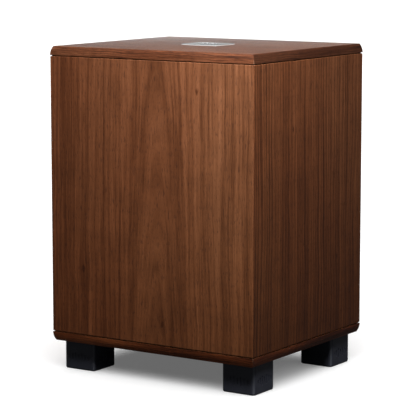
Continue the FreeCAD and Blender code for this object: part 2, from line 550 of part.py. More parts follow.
def cone_front_h(r):
    """Height of the cone's front face at a radius."""
    return SHELF_H + (CONE_IN_R - r) * (CONE_NECK_H - SHELF_H) / (CONE_IN_R - FORMER_R)


def driver_cone():
    neck_back = CONE_NECK_H + CONE_NECK_T
    profile = [(ROLL_IN_R, SHELF_H), (CONE_IN_R, SHELF_H), (FORMER_R, CONE_NECK_H), (FORMER_R, neck_back),
               (CONE_IN_R + 1.0, SHELF_H + CONE_T), (ROLL_IN_R, SHELF_H + CONE_T)]
    return turned(profile, 0, CAB_Y, FLANGE_Z)


def dust_cap():
    """An inverted dome across the cone's middle."""
    rim = cone_front_h(CAP_R)
    front = half_arc(CAP_R, rim - CAP_T, CAP_DEPTH)
    back = half_arc(CAP_R, rim, CAP_DEPTH)
    return turned([*front, *reversed(back)], 0, CAB_Y, FLANGE_Z)


def half_arc(r, h, depth):
    """Points from the rim (r, h) to the axis, of a dome that rises by depth."""
    return arc_points(r, h, -r, h, -depth, 2 * DOME_STEPS)[:DOME_STEPS + 1]


def spider():
    """The corrugated suspension between the coil former and the frame's ledge."""
    upper, lower = [], []
    for i in range(SPIDER_STEPS + 1):
        r = SPIDER_WAVE_IN + (SPIDER_WAVE_OUT - SPIDER_WAVE_IN) * i / SPIDER_STEPS
        wave = SPIDER_WAVE * math.sin(2 * math.pi * (r - SPIDER_WAVE_IN) / SPIDER_PITCH)
        lower.append((r, SPIDER_H + wave))
        upper.append((r, SPIDER_H + SPIDER_T + wave))
    profile = [(FORMER_R, SPIDER_H), *lower, (SPIDER_OUT_R, SPIDER_H), (SPIDER_OUT_R, SPIDER_H + SPIDER_T),
               *reversed(upper), (FORMER_R, SPIDER_H + SPIDER_T)]
    return turned(profile, 0, CAB_Y, FLANGE_Z)


def driver_ring(r_out, r_in, h0, h1):
    return tube(r_out, r_in, h1 - h0, V(0, CAB_Y, FLANGE_Z + h0))


def magnet_yoke():
    """The magnet's back plate and the vented pole that stands inside the voice coil."""
    low, back = PLATE_LOW_H - POLE_REACH, MAGNET_BACK_H
    plate = cyl(PLATE_R, YOKE_T, V(0, CAB_Y, FLANGE_Z + back))
    pole = cyl(POLE_R, back - low, V(0, CAB_Y, FLANGE_Z + low))
    vent = cyl(VENT_R, back + YOKE_T - low + 2 * OVER, V(0, CAB_Y, FLANGE_Z + low - OVER))
    return plate.fuse(pole).cut(vent).removeSplitter()


def driver_screws():
    z = FLANGE_Z
    head = cyl(M5_HEAD_R, M5_HEAD_H, V(SCREW_CIRCLE_R, CAB_Y, z - M5_HEAD_H))
    head = head.makeFillet(M5_HEAD_ROUND, edges_at(head, Z_AXIS, z - M5_HEAD_H))
    screw = head.fuse(cyl(M5_R, WALL_Z + BAFFLE_T - z - 2, V(SCREW_CIRCLE_R, CAB_Y, z)))
    key = hexagon(M5_KEY, M5_KEY_DEPTH + OVER, V(SCREW_CIRCLE_R, CAB_Y, z - M5_HEAD_H - OVER), Z_AXIS)
    screw = screw.cut(key)
    return around(screw, DRIVER_SCREWS, 0, CAB_Y, 180.0 / DRIVER_SCREWS)


def driver_tee_nuts():
    z1 = WALL_Z + BAFFLE_T
    barrel = tube(TEE_R, M5_R, TEE_DEPTH, V(SCREW_CIRCLE_R, CAB_Y, z1 - TEE_DEPTH))
    flange = tube(TEE_FLANGE_R, M5_R, TEE_FLANGE_T, V(SCREW_CIRCLE_R, CAB_Y, z1 - TEE_FLANGE_T))
    return around(barrel.fuse(flange).removeSplitter(), DRIVER_SCREWS, 0, CAB_Y, 180.0 / DRIVER_SCREWS)


def driver_terminals():
    """A terminal strip with two tags, on the rear spoke of the frame."""
    back, w, h = TERMINAL_Y + STRIP_T, STRIP_W / 2, STRIP_H / 2
    strip = box(-w, w, TERMINAL_Y, back, TERMINAL_Z - h, TERMINAL_Z + h)
    half = STRIP_FOOT / 2
    foot_block = box(-half, half, TERMINAL_Y - half, TERMINAL_Y, TERMINAL_Z + STRIP_FOOT_LOW,
                     TERMINAL_Z + STRIP_FOOT_HIGH)
    bend = V(0, CAB_Y, FLANGE_Z + FRAME_BEND_H)
    foot_block = foot_block.cut(Part.makeCone(FRAME_WALL_R, LEDGE_R, LEDGE_H - FRAME_BEND_H, bend, Z_AXIS))
    tags = [box(s * TERMINAL_X - TAG_W / 2, s * TERMINAL_X + TAG_W / 2, back, back + TAG_T,
                TERMINAL_Z + TAG_LOW, TERMINAL_Z + TAG_HIGH) for s in (-1, 1)]
    return [strip.fuse(foot_block), *tags]


def tinsel_leads():
    """Two braided leads that loop from the terminal strip to the cone's back."""
    found = []
    for side in (-1, 1):
        cone_z = FLANGE_Z + cone_front_h(TINSEL_END_R)
        start = V(side * TINSEL_X0, TERMINAL_Y, TERMINAL_Z + TINSEL_RISE)
        turns = ((66.0, TERMINAL_Z + 2), (50.0, cone_z + 14.0))
        loop = [V(side * TINSEL_X1, CAB_Y + y, z) for y, z in turns]
        end = V(side * TINSEL_X2, CAB_Y + TINSEL_END_Y, cone_z + TINSEL_END_H)
        found.append(lead([start, start - V(0, TINSEL_OUT, 0), *loop, end], TINSEL_R, TINSEL_BEND))
    return found


# ---------------------------------------------------------------- amplifier
def amp_screw_places():
    side_x, top_z = AMP_W / 2 - AMP_SCREW_INSET, AMP_H / 2 - AMP_SCREW_INSET
    places = [(sx * side_x, AMP_Z + k * top_z / 2) for sx in (-1, 1) for k in range(-2, 3)]
    return places + [(0, AMP_Z - top_z), (0, AMP_Z + top_z)]


def through_plate(r, x, z):
    return cyl(r, AMP_T + 2 * OVER, V(x, PLATE_IN_Y - OVER, z), Y_AXIS)


def through_box(x, z, w, h):
    return box(x - w / 2, x + w / 2, PLATE_IN_Y - OVER, REAR_Y + OVER, z - h / 2, z + h / 2)


def amp_plate():
    w, h = AMP_W / 2, AMP_H / 2
    plate = rounded_block(-w, w, PLATE_IN_Y, REAR_Y, AMP_Z - h, AMP_Z + h, AMP_CORNER, Y_AXIS)
    plate = plate.makeChamfer(AMP_EDGE_BREAK, edges_at(plate, Y_AXIS, REAR_Y))
    tools = [through_plate(AMP_SCREW_R + AMP_SCREW_FIT, x, z) for x, z in amp_screw_places()]
    tools += [through_plate(POT_BUSH_R + PANEL_FIT, KNOB_X, z) for z in KNOB_ZS]
    tools.append(through_plate(TOGGLE_BUSH_R + PANEL_FIT, KNOB_X, TOGGLE_Z))
    tools.append(through_plate(LED_R + PANEL_FIT, *LED_XZ))
    tools += [through_plate(JACK_WASHER_R, x, z) for x, z in JACK_XZ]
    tools.append(through_plate(SOCKET_R + PANEL_FIT, *SOCKET_XZ))
    tools += [through_plate(M3_R, x, z) for x, z in socket_screw_places()]
    tools.append(through_plate(CORE_BOLT_R + CORE_BOLT_FIT, *TRANSFORMER_XZ))
    tools += [through_box(*ROCKER_XZ, ROCKER_CASE_W + 2 * PANEL_FIT, ROCKER_CASE_H + 3 * PANEL_FIT)]
    tools += [through_box(*INLET_XZ, INLET_CASE_W + 2 * PANEL_FIT, INLET_CASE_H + 2 * PANEL_FIT)]
    tools += [through_plate(M3_R + M3_FIT, x, z) for x, z in board_corners()]
    return cut_all(plate, tools)


def amp_gasket():
    w, h = AMP_W / 2, AMP_H / 2
    y0 = PLATE_IN_Y - AMP_GASKET_T
    ring = rounded_block(-w, w, y0, PLATE_IN_Y, AMP_Z - h, AMP_Z + h, AMP_CORNER, Y_AXIS)
    w, h = w - AMP_GASKET_RIM, h - AMP_GASKET_RIM
    hole = rounded_block(-w, w, y0 - OVER, PLATE_IN_Y + OVER, AMP_Z - h, AMP_Z + h, AMP_CUT_CORNER, Y_AXIS)
    screws = [cyl(AMP_SCREW_R + AMP_SCREW_FIT, AMP_GASKET_T + 2 * OVER, V(x, y0 - OVER, z), Y_AXIS)
              for x, z in amp_screw_places()]
    return cut_all(ring, [hole, *screws])


def cross_slots(x, y, z, size, depth):
    """The two crossed slots of a cross-head screw, cut into a face at y that looks towards +Y."""
    half, slot = size / 2, size / 7
    return [box(x - half, x + half, y - depth, y + OVER, z - slot, z + slot),
            box(x - slot, x + slot, y - depth, y + OVER, z - half, z + half)]


def pan_screw(x, y, z, r, length, head_r, head_h):
    """A pan-head screw standing along -Y, its head resting on a face at y."""
    head = cyl(head_r, head_h, V(x, y, z), Y_AXIS)
    head = head.makeFillet(head_h * PAN_ROUND, edges_at(head, Y_AXIS, y + head_h))
    screw = head.fuse(cyl(r, length, V(x, y - length, z), Y_AXIS))
    return cut_all(screw, cross_slots(x, y + head_h, z, head_r * PAN_SLOT, head_h / 2))


def socket_screw_places():
    x, z = SOCKET_XZ
    return [(x + s * SOCKET_SCREW_AT, z + s * SOCKET_SCREW_AT) for s in (-1, 1)]


def amp_screws():
    """Twelve screws hold the plate to the cabinet, and two hold the round socket to the plate."""
    found = [pan_screw(x, REAR_Y, z, AMP_SCREW_R, AMP_SCREW_LENGTH, AMP_SCREW_HEAD_R, AMP_SCREW_HEAD_H)
             for x, z in amp_screw_places()]
    found += [pan_screw(x, REAR_Y + SOCKET_FLANGE_T, z, M3_R, SOCKET_SCREW_LENGTH, M3_HEAD_R, M3_HEAD_H)
              for x, z in socket_screw_places()]
    return found


def board_corners():
    inset = BOARD_HOLE_INSET
    xs, zs = (BOARD_X0 + inset, BOARD_X1 - inset), (BOARD_Z0 + inset, BOARD_Z1 - inset)
    return [(x, z) for x in xs for z in zs]


def main_board():
    board = box(BOARD_X0, BOARD_X1, BOARD_Y - BOARD_T, BOARD_Y, BOARD_Z0, BOARD_Z1)
    r, low, length = M3_R + M3_FIT, BOARD_Y - BOARD_T - OVER, BOARD_T + 2 * OVER
    return cut_all(board, [cyl(r, length, V(x, low, z), Y_AXIS) for x, z in board_corners()])


def board_standoffs():
    """Four hexagonal spacers, each with the screw outside the plate and the one on the board."""
    found = []
    for x, z in board_corners():
        pillar = hexagon(SPACER_FLATS, BOARD_STANDOFF, V(x, PLATE_IN_Y, z), V(0, -1, 0))
        bore = cyl(M3_R, BOARD_STANDOFF, V(x, BOARD_Y, z), Y_AXIS)
        found.append(pillar.cut(bore))
        found.append(pan_screw(x, REAR_Y, z, M3_R, SPACER_SCREW, M3_HEAD_R, M3_HEAD_H))
        inner = cyl(M3_HEAD_R, M3_HEAD_H, V(x, BOARD_Y - BOARD_T - M3_HEAD_H, z), Y_AXIS)
        found.append(inner.fuse(cyl(M3_R, BOARD_SCREW, V(x, BOARD_Y - BOARD_T, z), Y_AXIS)))
    return found


def capacitors():
    """Four reservoir capacitors and a row of small ones, standing on the board."""
    y = BOARD_Y - BOARD_T
    r, h = CAP_LARGE_R, CAP_LARGE_H
    found = [cyl(r, h, V(x, y - h, z), Y_AXIS) for x in CAP_LARGE_XS for z in CAP_LARGE_ZS]
    r, h = CAP_SMALL_R, CAP_SMALL_H
    found += [cyl(r, h, V(x, y - h, CAP_SMALL_Z), Y_AXIS) for x in CAP_SMALL_XS]
    return found


def heatsink():
    """An aluminium angle on the plate, with fins along its underside."""
    x0, x1, z1 = BOARD_X0, BOARD_X1, HEATSINK_Z
    y0, y1, z0 = PLATE_IN_Y - HEATSINK_REACH, PLATE_IN_Y, HEATSINK_Z - HEATSINK_T
    sink = box(x0, x1, y0, y1, z0, z1)
    sink = sink.fuse(box(x0, HEATSINK_FOOT_X, y1 - HEATSINK_T, y1, z1 - HEATSINK_FOOT_H, z1))
    fins = [box(x0 + i * FIN_PITCH, x0 + i * FIN_PITCH + FIN_T, y0, y1 - 2 * HEATSINK_T, z0 - FIN_H, z0)
            for i in range(FINS)]
    return sink.multiFuse(fins).removeSplitter()


def output_transistors():
    found = []
    for i in range(CHIPS):
        x = CHIP_X0 + i * CHIP_PITCH
        found.append(box(x - CHIP_W / 2, x + CHIP_W / 2, PLATE_IN_Y - CHIP_FAR, PLATE_IN_Y - CHIP_NEAR,
                         HEATSINK_Z, HEATSINK_Z + CHIP_H))
    return found


def transformer():
    x, z = TRANSFORMER_XZ
    ring = tube(CORE_R, CORE_BORE_R, CORE_T, V(x, PLATE_IN_Y - CORE_STAND_OFF - CORE_T, z), Y_AXIS)
    circles = [e for e in ring.Edges if isinstance(e.Curve, Part.Circle)]
    rims = [e for e in circles if abs(e.Curve.Radius - CORE_R) < NEAR]
    return ring.makeFillet(CORE_ROUND, rims)


def transformer_mount():
    """Insulating washers, a dished cover and the centre bolt."""
    x, z = TRANSFORMER_XZ
    hole_r, far = CORE_BOLT_R + CORE_BOLT_FIT, PLATE_IN_Y - CORE_STAND_OFF - CORE_T
    pad = tube(PAD_R, hole_r, CORE_STAND_OFF, V(x, PLATE_IN_Y - CORE_STAND_OFF, z), Y_AXIS)
    dish = tube(DISH_R, hole_r, DISH_T, V(x, far - DISH_T, z), Y_AXIS)
    tip = far - DISH_T - CORE_NUT_T - OVER
    head = cyl(CORE_HEAD_R, CORE_HEAD_H, V(x, REAR_Y, z), Y_AXIS)
    bolt = head.fuse(cyl(CORE_BOLT_R, REAR_Y - tip, V(x, tip, z), Y_AXIS))
    key_at = V(x, REAR_Y + CORE_HEAD_H + OVER, z)
    bolt = bolt.cut(hexagon(CORE_KEY, CORE_KEY_DEPTH + OVER, key_at, V(0, -1, 0)))
    nut = hexagon(CORE_NUT, CORE_NUT_T, V(x, far - DISH_T, z), V(0, -1, 0))
    nut = nut.cut(cyl(CORE_BOLT_R, CORE_NUT_T + OVER, V(x, tip, z), Y_AXIS))
    return [pad, dish, bolt, nut]


def input_board():
    y1 = PLATE_IN_Y - POT_DEPTH - INPUT_BOARD_GAP
    half, back = INPUT_BOARD_W / 2, y1 - BOARD_T
    board = box(KNOB_X - half, KNOB_X + half, back, y1, INPUT_BOARD_Z0, INPUT_BOARD_Z1)
    header_x = KNOB_X - half + 1
    header = box(header_x, header_x + HEADER_W, back - HEADER_H, back, HEADER_Z0, HEADER_Z0 + HEADER_LENGTH)
    return [board, header]


def control_pots():
    """Three potentiometer bodies with their threaded bushes and nuts."""
    found = []
    for z in KNOB_ZS:
        body = cyl(POT_R, POT_DEPTH, V(KNOB_X, PLATE_IN_Y - POT_DEPTH, z), Y_AXIS)
        bush = cyl(POT_BUSH_R, AMP_T + POT_BUSH_REACH, V(KNOB_X, PLATE_IN_Y, z), Y_AXIS)
        floor_y = PLATE_IN_Y - POT_DEPTH + POT_FLOOR
        bore = cyl(SHAFT_R + SHAFT_CLEARANCE, BEYOND - floor_y, V(KNOB_X, floor_y, z), Y_AXIS)
        nut = hexagon(POT_NUT, POT_NUT_T, V(KNOB_X, REAR_Y, z), Y_AXIS)
        nut = nut.cut(cyl(POT_BUSH_R, POT_NUT_T + 2 * OVER, V(KNOB_X, REAR_Y - OVER, z), Y_AXIS))
        found += [body.fuse(bush).cut(bore), nut]
    return found


def knob_and_shaft(z):
    """A fluted control knob with a pointer groove, and the shaft that it turns."""
    y0, y1 = REAR_Y + KNOB_GAP, REAR_Y + REAR_REACH
    top = y0 + KNOB_SKIRT_H
    body = cyl(KNOB_R, KNOB_SKIRT_H, V(KNOB_X, y0, z), Y_AXIS)
    body = body.fuse(Part.makeCone(KNOB_TAPER_R0, KNOB_TAPER_R1, y1 - top, V(KNOB_X, top, z), Y_AXIS))
    body = body.makeFillet(KNOB_ROUND, edges_at(body, Y_AXIS, y1))
    hollow = cyl(KNOB_HOLLOW_R, KNOB_HOLLOW_H + OVER, V(KNOB_X, y0 - OVER, z), Y_AXIS)
    bore = cyl(SHAFT_R, KNOB_BORE_H, V(KNOB_X, y0, z), Y_AXIS)
    half = POINTER_W / 2
    groove = box(KNOB_X - half, KNOB_X + half, y1 - POINTER_DEPTH, y1 + OVER, z + POINTER_START, z + KNOB_R)
    flutes = []
    for i in range(FLUTES):
        a, r = 2 * math.pi * (i + 0.5) / FLUTES, KNOB_TAPER_R0 + 0.1
        at = V(KNOB_X + r * math.cos(a), top, z + r * math.sin(a))
        flutes.append(cyl(FLUTE_R, REAR_REACH, at, Y_AXIS))
    body = cut_all(body, [hollow, bore, groove, *flutes])
    low = PLATE_IN_Y - POT_DEPTH + 2.5
    shaft = cyl(SHAFT_R, y0 + KNOB_BORE_H - low, V(KNOB_X, low, z), Y_AXIS)
    return [body, shaft]


def phase_switch():
    """The toggle switch's case, its threaded bush with a flared mouth, and its nut."""
    x, z, half_w, half_h = KNOB_X, TOGGLE_Z, TOGGLE_CASE_W / 2, TOGGLE_CASE_H / 2
    case = box(x - half_w, x + half_w, PLATE_IN_Y - TOGGLE_CASE_D, PLATE_IN_Y, z - half_h, z + half_h)
    bush = cyl(TOGGLE_BUSH_R, AMP_T + TOGGLE_BUSH_REACH, V(x, PLATE_IN_Y, z), Y_AXIS)
    mouth_h = REAR_Y + TOGGLE_MOUTH_REACH - TOGGLE_PIVOT_Y
    mouth = Part.makeCone(TOGGLE_WELL_R, TOGGLE_MOUTH_R, mouth_h, V(x, TOGGLE_PIVOT_Y, z), Y_AXIS)
    well = cyl(TOGGLE_WELL_R, TOGGLE_WELL_DEPTH, V(x, TOGGLE_PIVOT_Y - TOGGLE_WELL_DEPTH, z), Y_AXIS)
    hole_half = TOGGLE_PIN_LENGTH / 2 + TOGGLE_PIN_FIT
    hole_at = V(x - hole_half, TOGGLE_PIVOT_Y, z)
    pin_hole = cyl(TOGGLE_PIN_R + TOGGLE_PIN_FIT, 2 * hole_half, hole_at, X_AXIS)
    nut = hexagon(TOGGLE_NUT, TOGGLE_NUT_T, V(x, REAR_Y, z), Y_AXIS)
    nut = nut.cut(cyl(TOGGLE_BUSH_R, TOGGLE_NUT_T + 2 * OVER, V(x, REAR_Y - OVER, z), Y_AXIS))
    return [cut_all(case.fuse(bush), [mouth.fuse(well), pin_hole]), nut]


def phase_toggle():
    """The bat lever on its cross pin, resting against its lower stop."""
    pivot = V(KNOB_X, TOGGLE_PIVOT_Y, TOGGLE_Z)
    ball = Part.makeSphere(TOGGLE_BALL_R, pivot)
    bat = Part.makeCone(TOGGLE_NECK_R, TOGGLE_TIP_R, TOGGLE_REACH, pivot, Y_AXIS)
    tip = Part.makeSphere(TOGGLE_TIP_R, pivot + V(0, TOGGLE_REACH, 0))
    pin = cyl(TOGGLE_PIN_R, TOGGLE_PIN_LENGTH, pivot - V(TOGGLE_PIN_LENGTH / 2, 0, 0), X_AXIS)
    lever = ball.fuse(bat).fuse(tip).fuse(pin)
    lever.rotate(pivot, X_AXIS, -TOGGLE_TILT)
    return lever


def power_switch():
    """The rocker's frame and case."""
    x, z = ROCKER_XZ
    w, h, back = BEZEL_W / 2, BEZEL_H / 2, PLATE_IN_Y - ROCKER_CASE_D
    bezel = rounded_block(x - w, x + w, REAR_Y, REAR_Y + BEZEL_T, z - h, z + h, BEZEL_R, Y_AXIS)
    w, h = ROCKER_CASE_W / 2, ROCKER_CASE_H / 2
    case = box(x - w, x + w, back, REAR_Y, z - h, z + h)
    w, h = ROCKER_W / 2 + ROCKER_FIT, ROCKER_R + ROCKER_FIT
    slot = box(x - w, x + w, ROCKER_PIVOT_Y - h, REAR_Y + 3, z - h, z + h)
    t, half = ROCKER_TAB_T / 2, ROCKER_TAB_W / 2
    tabs = [box(x + k - t, x + k + t, back - ROCKER_TAB_LENGTH, back, z - half, z + half)
            for k in (-ROCKER_TAB_X, ROCKER_TAB_X)]
    return [bezel.fuse(case).cut(slot).removeSplitter(), *tabs]


def power_rocker():
    """A rocker that turns about a cross axis, shown pressed at its lower end."""
    x, z = ROCKER_XZ
    w = ROCKER_W / 2
    disc = cyl(ROCKER_R, ROCKER_W, V(x - w, ROCKER_PIVOT_Y, z), X_AXIS)
    low, middle = ROCKER_PIVOT_Y - ROCKER_LOW, ROCKER_PIVOT_Y + ROCKER_RISE
    end = middle + ROCKER_FAR * math.tan(math.radians(ROCKER_TILT))
    outline = ((low, -ROCKER_FAR), (end, -ROCKER_FAR), (middle, 0), (end, ROCKER_FAR), (low, ROCKER_FAR))
    under = face_of([V(x - w, y, z + rise) for y, rise in outline]).extrude(V(ROCKER_W, 0, 0))
    rocker = disc.common(under)
    rocker.rotate(V(x, ROCKER_PIVOT_Y, z), X_AXIS, -ROCKER_TILT)
    return rocker


def inlet_cavity():
    """The socket's hollow: a rectangle with two cut corners."""
    x, z = INLET_XZ
    zc, w, h, cut = z + CAVITY_RISE, CAVITY_W / 2, CAVITY_H / 2, CAVITY_CUT
    points = [(-w, -h), (w, -h), (w, h - cut), (w - cut, h), (-w + cut, h), (-w, h - cut)]
    return face_of([V(x + a, REAR_Y + 3, zc + b) for a, b in points]).extrude(V(0, -CAVITY_DEPTH - 3, 0))


def mains_inlet():
    """A mains socket with a fuse drawer's slot under it."""
    x, z = INLET_XZ
    w, h, face = INLET_W / 2, INLET_H / 2, REAR_Y + INLET_FLANGE_T
    flange = rounded_block(x - w, x + w, REAR_Y, face, z - h, z + h, INLET_FLANGE_R, Y_AXIS)
    w, h = INLET_CASE_W / 2, INLET_CASE_H / 2
    case = box(x - w, x + w, PLATE_IN_Y - INLET_CASE_D, REAR_Y, z - h, z + h)
    w, h, zc = DRAWER_W / 2 + DRAWER_FIT, DRAWER_H / 2 + DRAWER_FIT, z - DRAWER_DROP
    slot_end = REAR_Y + DRAWER_PROUD - DRAWER_DEPTH - 2 * DRAWER_FIT
    slot = box(x - w, x + w, slot_end, face + OVER, zc - h, zc + h)
    pins = [box(*span) for span in pin_spans()]
    return cut_all(flange.fuse(case), [inlet_cavity(), slot, *pins]).removeSplitter()


def pin_spans():
    """The three pins: two live ones below and the earth above."""
    x, z = INLET_XZ
    y0, y1 = PLATE_IN_Y - PIN_TAIL, REAR_Y - PIN_SET_BACK
    w, h, zc = PIN_W / 2, PIN_H / 2, z + CAVITY_RISE
    for dx, dz in PIN_PLACES:
        yield x + dx - w, x + dx + w, y0, y1, zc + dz - h, zc + dz + h


def inlet_pins():
    return [box(*span) for span in pin_spans()]


def fuse_drawer():
    """A pull-out drawer with the fuse lying across it."""
    x, z = INLET_XZ
    y1 = REAR_Y + DRAWER_PROUD
    y0 = y1 - DRAWER_DEPTH
    zc = z - DRAWER_DROP
    drawer = box(x - DRAWER_W / 2, x + DRAWER_W / 2, y0, y1, zc - DRAWER_H / 2, zc + DRAWER_H / 2)
    top, half_w = zc + DRAWER_H / 2, DRAWER_W / 2 - DRAWER_WALL
    finger = box(x - FINGER_W / 2, x + FINGER_W / 2, y1 - DRAWER_WALL, y1 + OVER, top - FINGER_H, top + OVER)
    pocket = box(x - half_w, x + half_w, y0 + POCKET_Y0, y0 + POCKET_Y1, zc - POCKET_DROP, top + OVER)
    fuse_y, fuse_z = y0 + (POCKET_Y0 + POCKET_Y1) / 2, zc - POCKET_DROP + FUSE_R + FUSE_GAP
    fuse = cyl(FUSE_R, FUSE_LENGTH, V(x - FUSE_LENGTH / 2, fuse_y, fuse_z), X_AXIS)
    return [cut_all(drawer, [finger, pocket]), fuse]


def phono_jacks():
    """Three phono sockets: barrels with a collar outside and a nut inside."""
    found = []
    for x, z in JACK_XZ:
        barrel = tube(JACK_R, JACK_BORE_R, JACK_LENGTH, V(x, PLATE_IN_Y - JACK_TAIL, z), Y_AXIS)
        collar = hexagon(JACK_COLLAR, JACK_COLLAR_T, V(x, REAR_Y, z), Y_AXIS)
        collar = collar.cut(cyl(JACK_R, 4, V(x, REAR_Y - OVER, z), Y_AXIS))
        nut = hexagon(JACK_NUT, JACK_NUT_T, V(x, PLATE_IN_Y - JACK_NUT_T, z), Y_AXIS)
        nut = nut.cut(cyl(JACK_R, 4, V(x, PLATE_IN_Y - 3, z), Y_AXIS))
        found += [barrel.fuse(collar).removeSplitter(), nut]
    return found


def jack_insulators():
    """Each jack's core, bored for a plug's pin, and the washer that keeps its barrel off the plate."""
    found = []
    for x, z in JACK_XZ:
        core = cyl(JACK_BORE_R, JACK_LENGTH - OVER, V(x, PLATE_IN_Y - JACK_TAIL, z), Y_AXIS)
        core = core.cut(cyl(JACK_PIN_R, JACK_PIN_BORE, V(x, REAR_Y - JACK_PIN_DEPTH, z), Y_AXIS))
        washer = tube(JACK_WASHER_R, JACK_R, AMP_T, V(x, PLATE_IN_Y, z), Y_AXIS)
        found += [core, washer]
    return found


def high_level_socket():
    """A round locking socket on a square flange, hollow around a central post."""
    x, z = SOCKET_XZ
    w, low, face = SOCKET_FLANGE / 2, REAR_Y - SOCKET_FLOOR, REAR_Y + SOCKET_FLANGE_T
    flange = rounded_block(x - w, x + w, REAR_Y, face, z - w, z + w, SOCKET_FLANGE_R, Y_AXIS)
    barrel = cyl(SOCKET_R, SOCKET_DEPTH, V(x, REAR_Y - SOCKET_DEPTH, z), Y_AXIS)
    hollow = tube(SOCKET_HOLLOW_R, SOCKET_POST_R, face - low, V(x, low, z), Y_AXIS)
    half, key_z = SOCKET_KEY_W / 2, z + SOCKET_KEY_Z
    key = box(x - half, x + half, low, BEYOND, key_z, key_z + SOCKET_KEY_H)
    post_bore = cyl(SOCKET_BORE_R, BEYOND - REAR_Y, V(x, REAR_Y - SOCKET_BORE_DEPTH, z), Y_AXIS)
    screws = [cyl(M3_R, BEYOND - REAR_Y, V(screw_x, REAR_Y - OVER, screw_z), Y_AXIS)
              for screw_x, screw_z in socket_screw_places()]
    return cut_all(flange.fuse(barrel), [hollow, key, post_bore, *screws]).removeSplitter()


def status_light():
    x, z = LED_XZ
    reach = POT_DEPTH + INPUT_BOARD_GAP
    stem = cyl(LED_R, reach + AMP_T + LED_REACH, V(x, PLATE_IN_Y - reach, z), Y_AXIS)
    return stem.fuse(Part.makeSphere(LED_R, V(x, REAR_Y + LED_REACH, z)))


def speaker_leads():
    """Two insulated wires from the amplifier board down to the driver's tags."""
    found = []
    top_y = BOARD_Y - BOARD_T
    for side in (-1, 1):
        x = LEAD_X + side * 2 * LEAD_R
        down = [(x, top_y, 284.0), (x, top_y - 36.0, 284.0), (x, top_y - 38.0, 200.0),
                (x + 4.0, top_y - 6.0, 150.0)]
        tag = V(side * TERMINAL_X, TERMINAL_Y, TERMINAL_Z + TAG_HIGH - LEAD_TAG_DROP)
        points = [*(V(*place) for place in down), tag + V(-4.0, 16.0, 18.0), tag + V(0, LEAD_TAG_OUT, 0)]
        found.append(lead(points, LEAD_R, LEAD_BEND))
    return found


PARTS = {
    "front_panel": lambda: wall("front"),
    "left_panel": lambda: wall("left"),
    "right_panel": lambda: wall("right"),
    "rear_panel": rear_panel,
    "top_lid": top_lid,
    "base_board": base_board,
    "driver_baffle": driver_baffle,
    "window_brace": window_brace,
    "wadding_pads": wadding_pads,
    "badge_plate": badge_plate,
    "badge_emblem": badge_emblem,
    "foot_bolts": foot_bolts,
    "foot_inserts": foot_inserts,
    "driver_frame": driver_frame,
    "driver_gasket": driver_gasket,
    "trim_ring": trim_ring,
    "driver_surround": driver_surround,
    "driver_cone": driver_cone,
    "dust_cap": dust_cap,
    "spider": spider,
    "coil_former": lambda: driver_ring(FORMER_R, FORMER_R - FORMER_T, CONE_NECK_H, FORMER_TOP_H),
    "voice_coil": lambda: driver_ring(FORMER_R + COIL_T, FORMER_R, COIL_LOW_H, FORMER_TOP_H),
    "magnet_top_plate": lambda: driver_ring(PLATE_R, PLATE_BORE_R, PLATE_LOW_H, PLATE_LOW_H + PLATE_T),
    "magnet": lambda: driver_ring(MAGNET_R, MAGNET_BORE_R, PLATE_LOW_H + PLATE_T, MAGNET_BACK_H),
    "magnet_yoke": magnet_yoke,
    "driver_terminals": driver_terminals,
    "tinsel_leads": tinsel_leads,
    "driver_screws": driver_screws,
    "driver_tee_nuts": driver_tee_nuts,
    "amp_plate": amp_plate,
    "amp_gasket": amp_gasket,
    "amp_screws": amp_screws,
    "main_board": main_board,
    "board_standoffs": board_standoffs,
    "capacitors": capacitors,
    "heatsink": heatsink,
    "output_transistors": output_transistors,
    "transformer": transformer,
    "transformer_mount": transformer_mount,
    "input_board": input_board,
    "control_pots": control_pots,
    "phase_switch": phase_switch,
    "phase_toggle": phase_toggle,
    "power_switch": power_switch,
    "power_rocker": power_rocker,
    "mains_inlet": mains_inlet,
    "inlet_pins": inlet_pins,
    "fuse_drawer": fuse_drawer,
    "phono_jacks": phono_jacks,
    "jack_insulators": jack_insulators,
    "high_level_socket": high_level_socket,
    "status_light": status_light,
    "speaker_leads": speaker_leads,
}
for knob_name, knob_z in zip(KNOB_NAMES, KNOB_ZS):
    PARTS[knob_name] = lambda z=knob_z: knob_and_shaft(z)
for foot_sx, foot_sy, foot_x, foot_y in foot_corners():
    foot_name = "foot_" + ("front" if foot_sy < 0 else "rear") + ("_left" if foot_sx < 0 else "_right")
    PARTS[foot_name] = lambda x=foot_x, y=foot_y: foot(x, y)


def solids_of(made):
    """Every solid in a shape or a list of shapes."""
    shapes = made if isinstance(made, list) else [made]
    return [solid for shape in shapes for solid in shape.Solids]


def main():
    os.makedirs("parts", exist_ok=True)
    for name, build in PARTS.items():
        solids = solids_of(build())
        bad = [s for s in solids if not s.isValid() or s.Volume <= 0]
        if bad or not solids:
            print("PROBLEM", name, len(solids), "solids,", len(bad), "bad")
        shape = solids[0] if len(solids) == 1 else Part.makeCompound(solids)
        shape.exportStep(os.path.join("parts", name + ".step"))
    print(len(PARTS), "nodes written")


main()
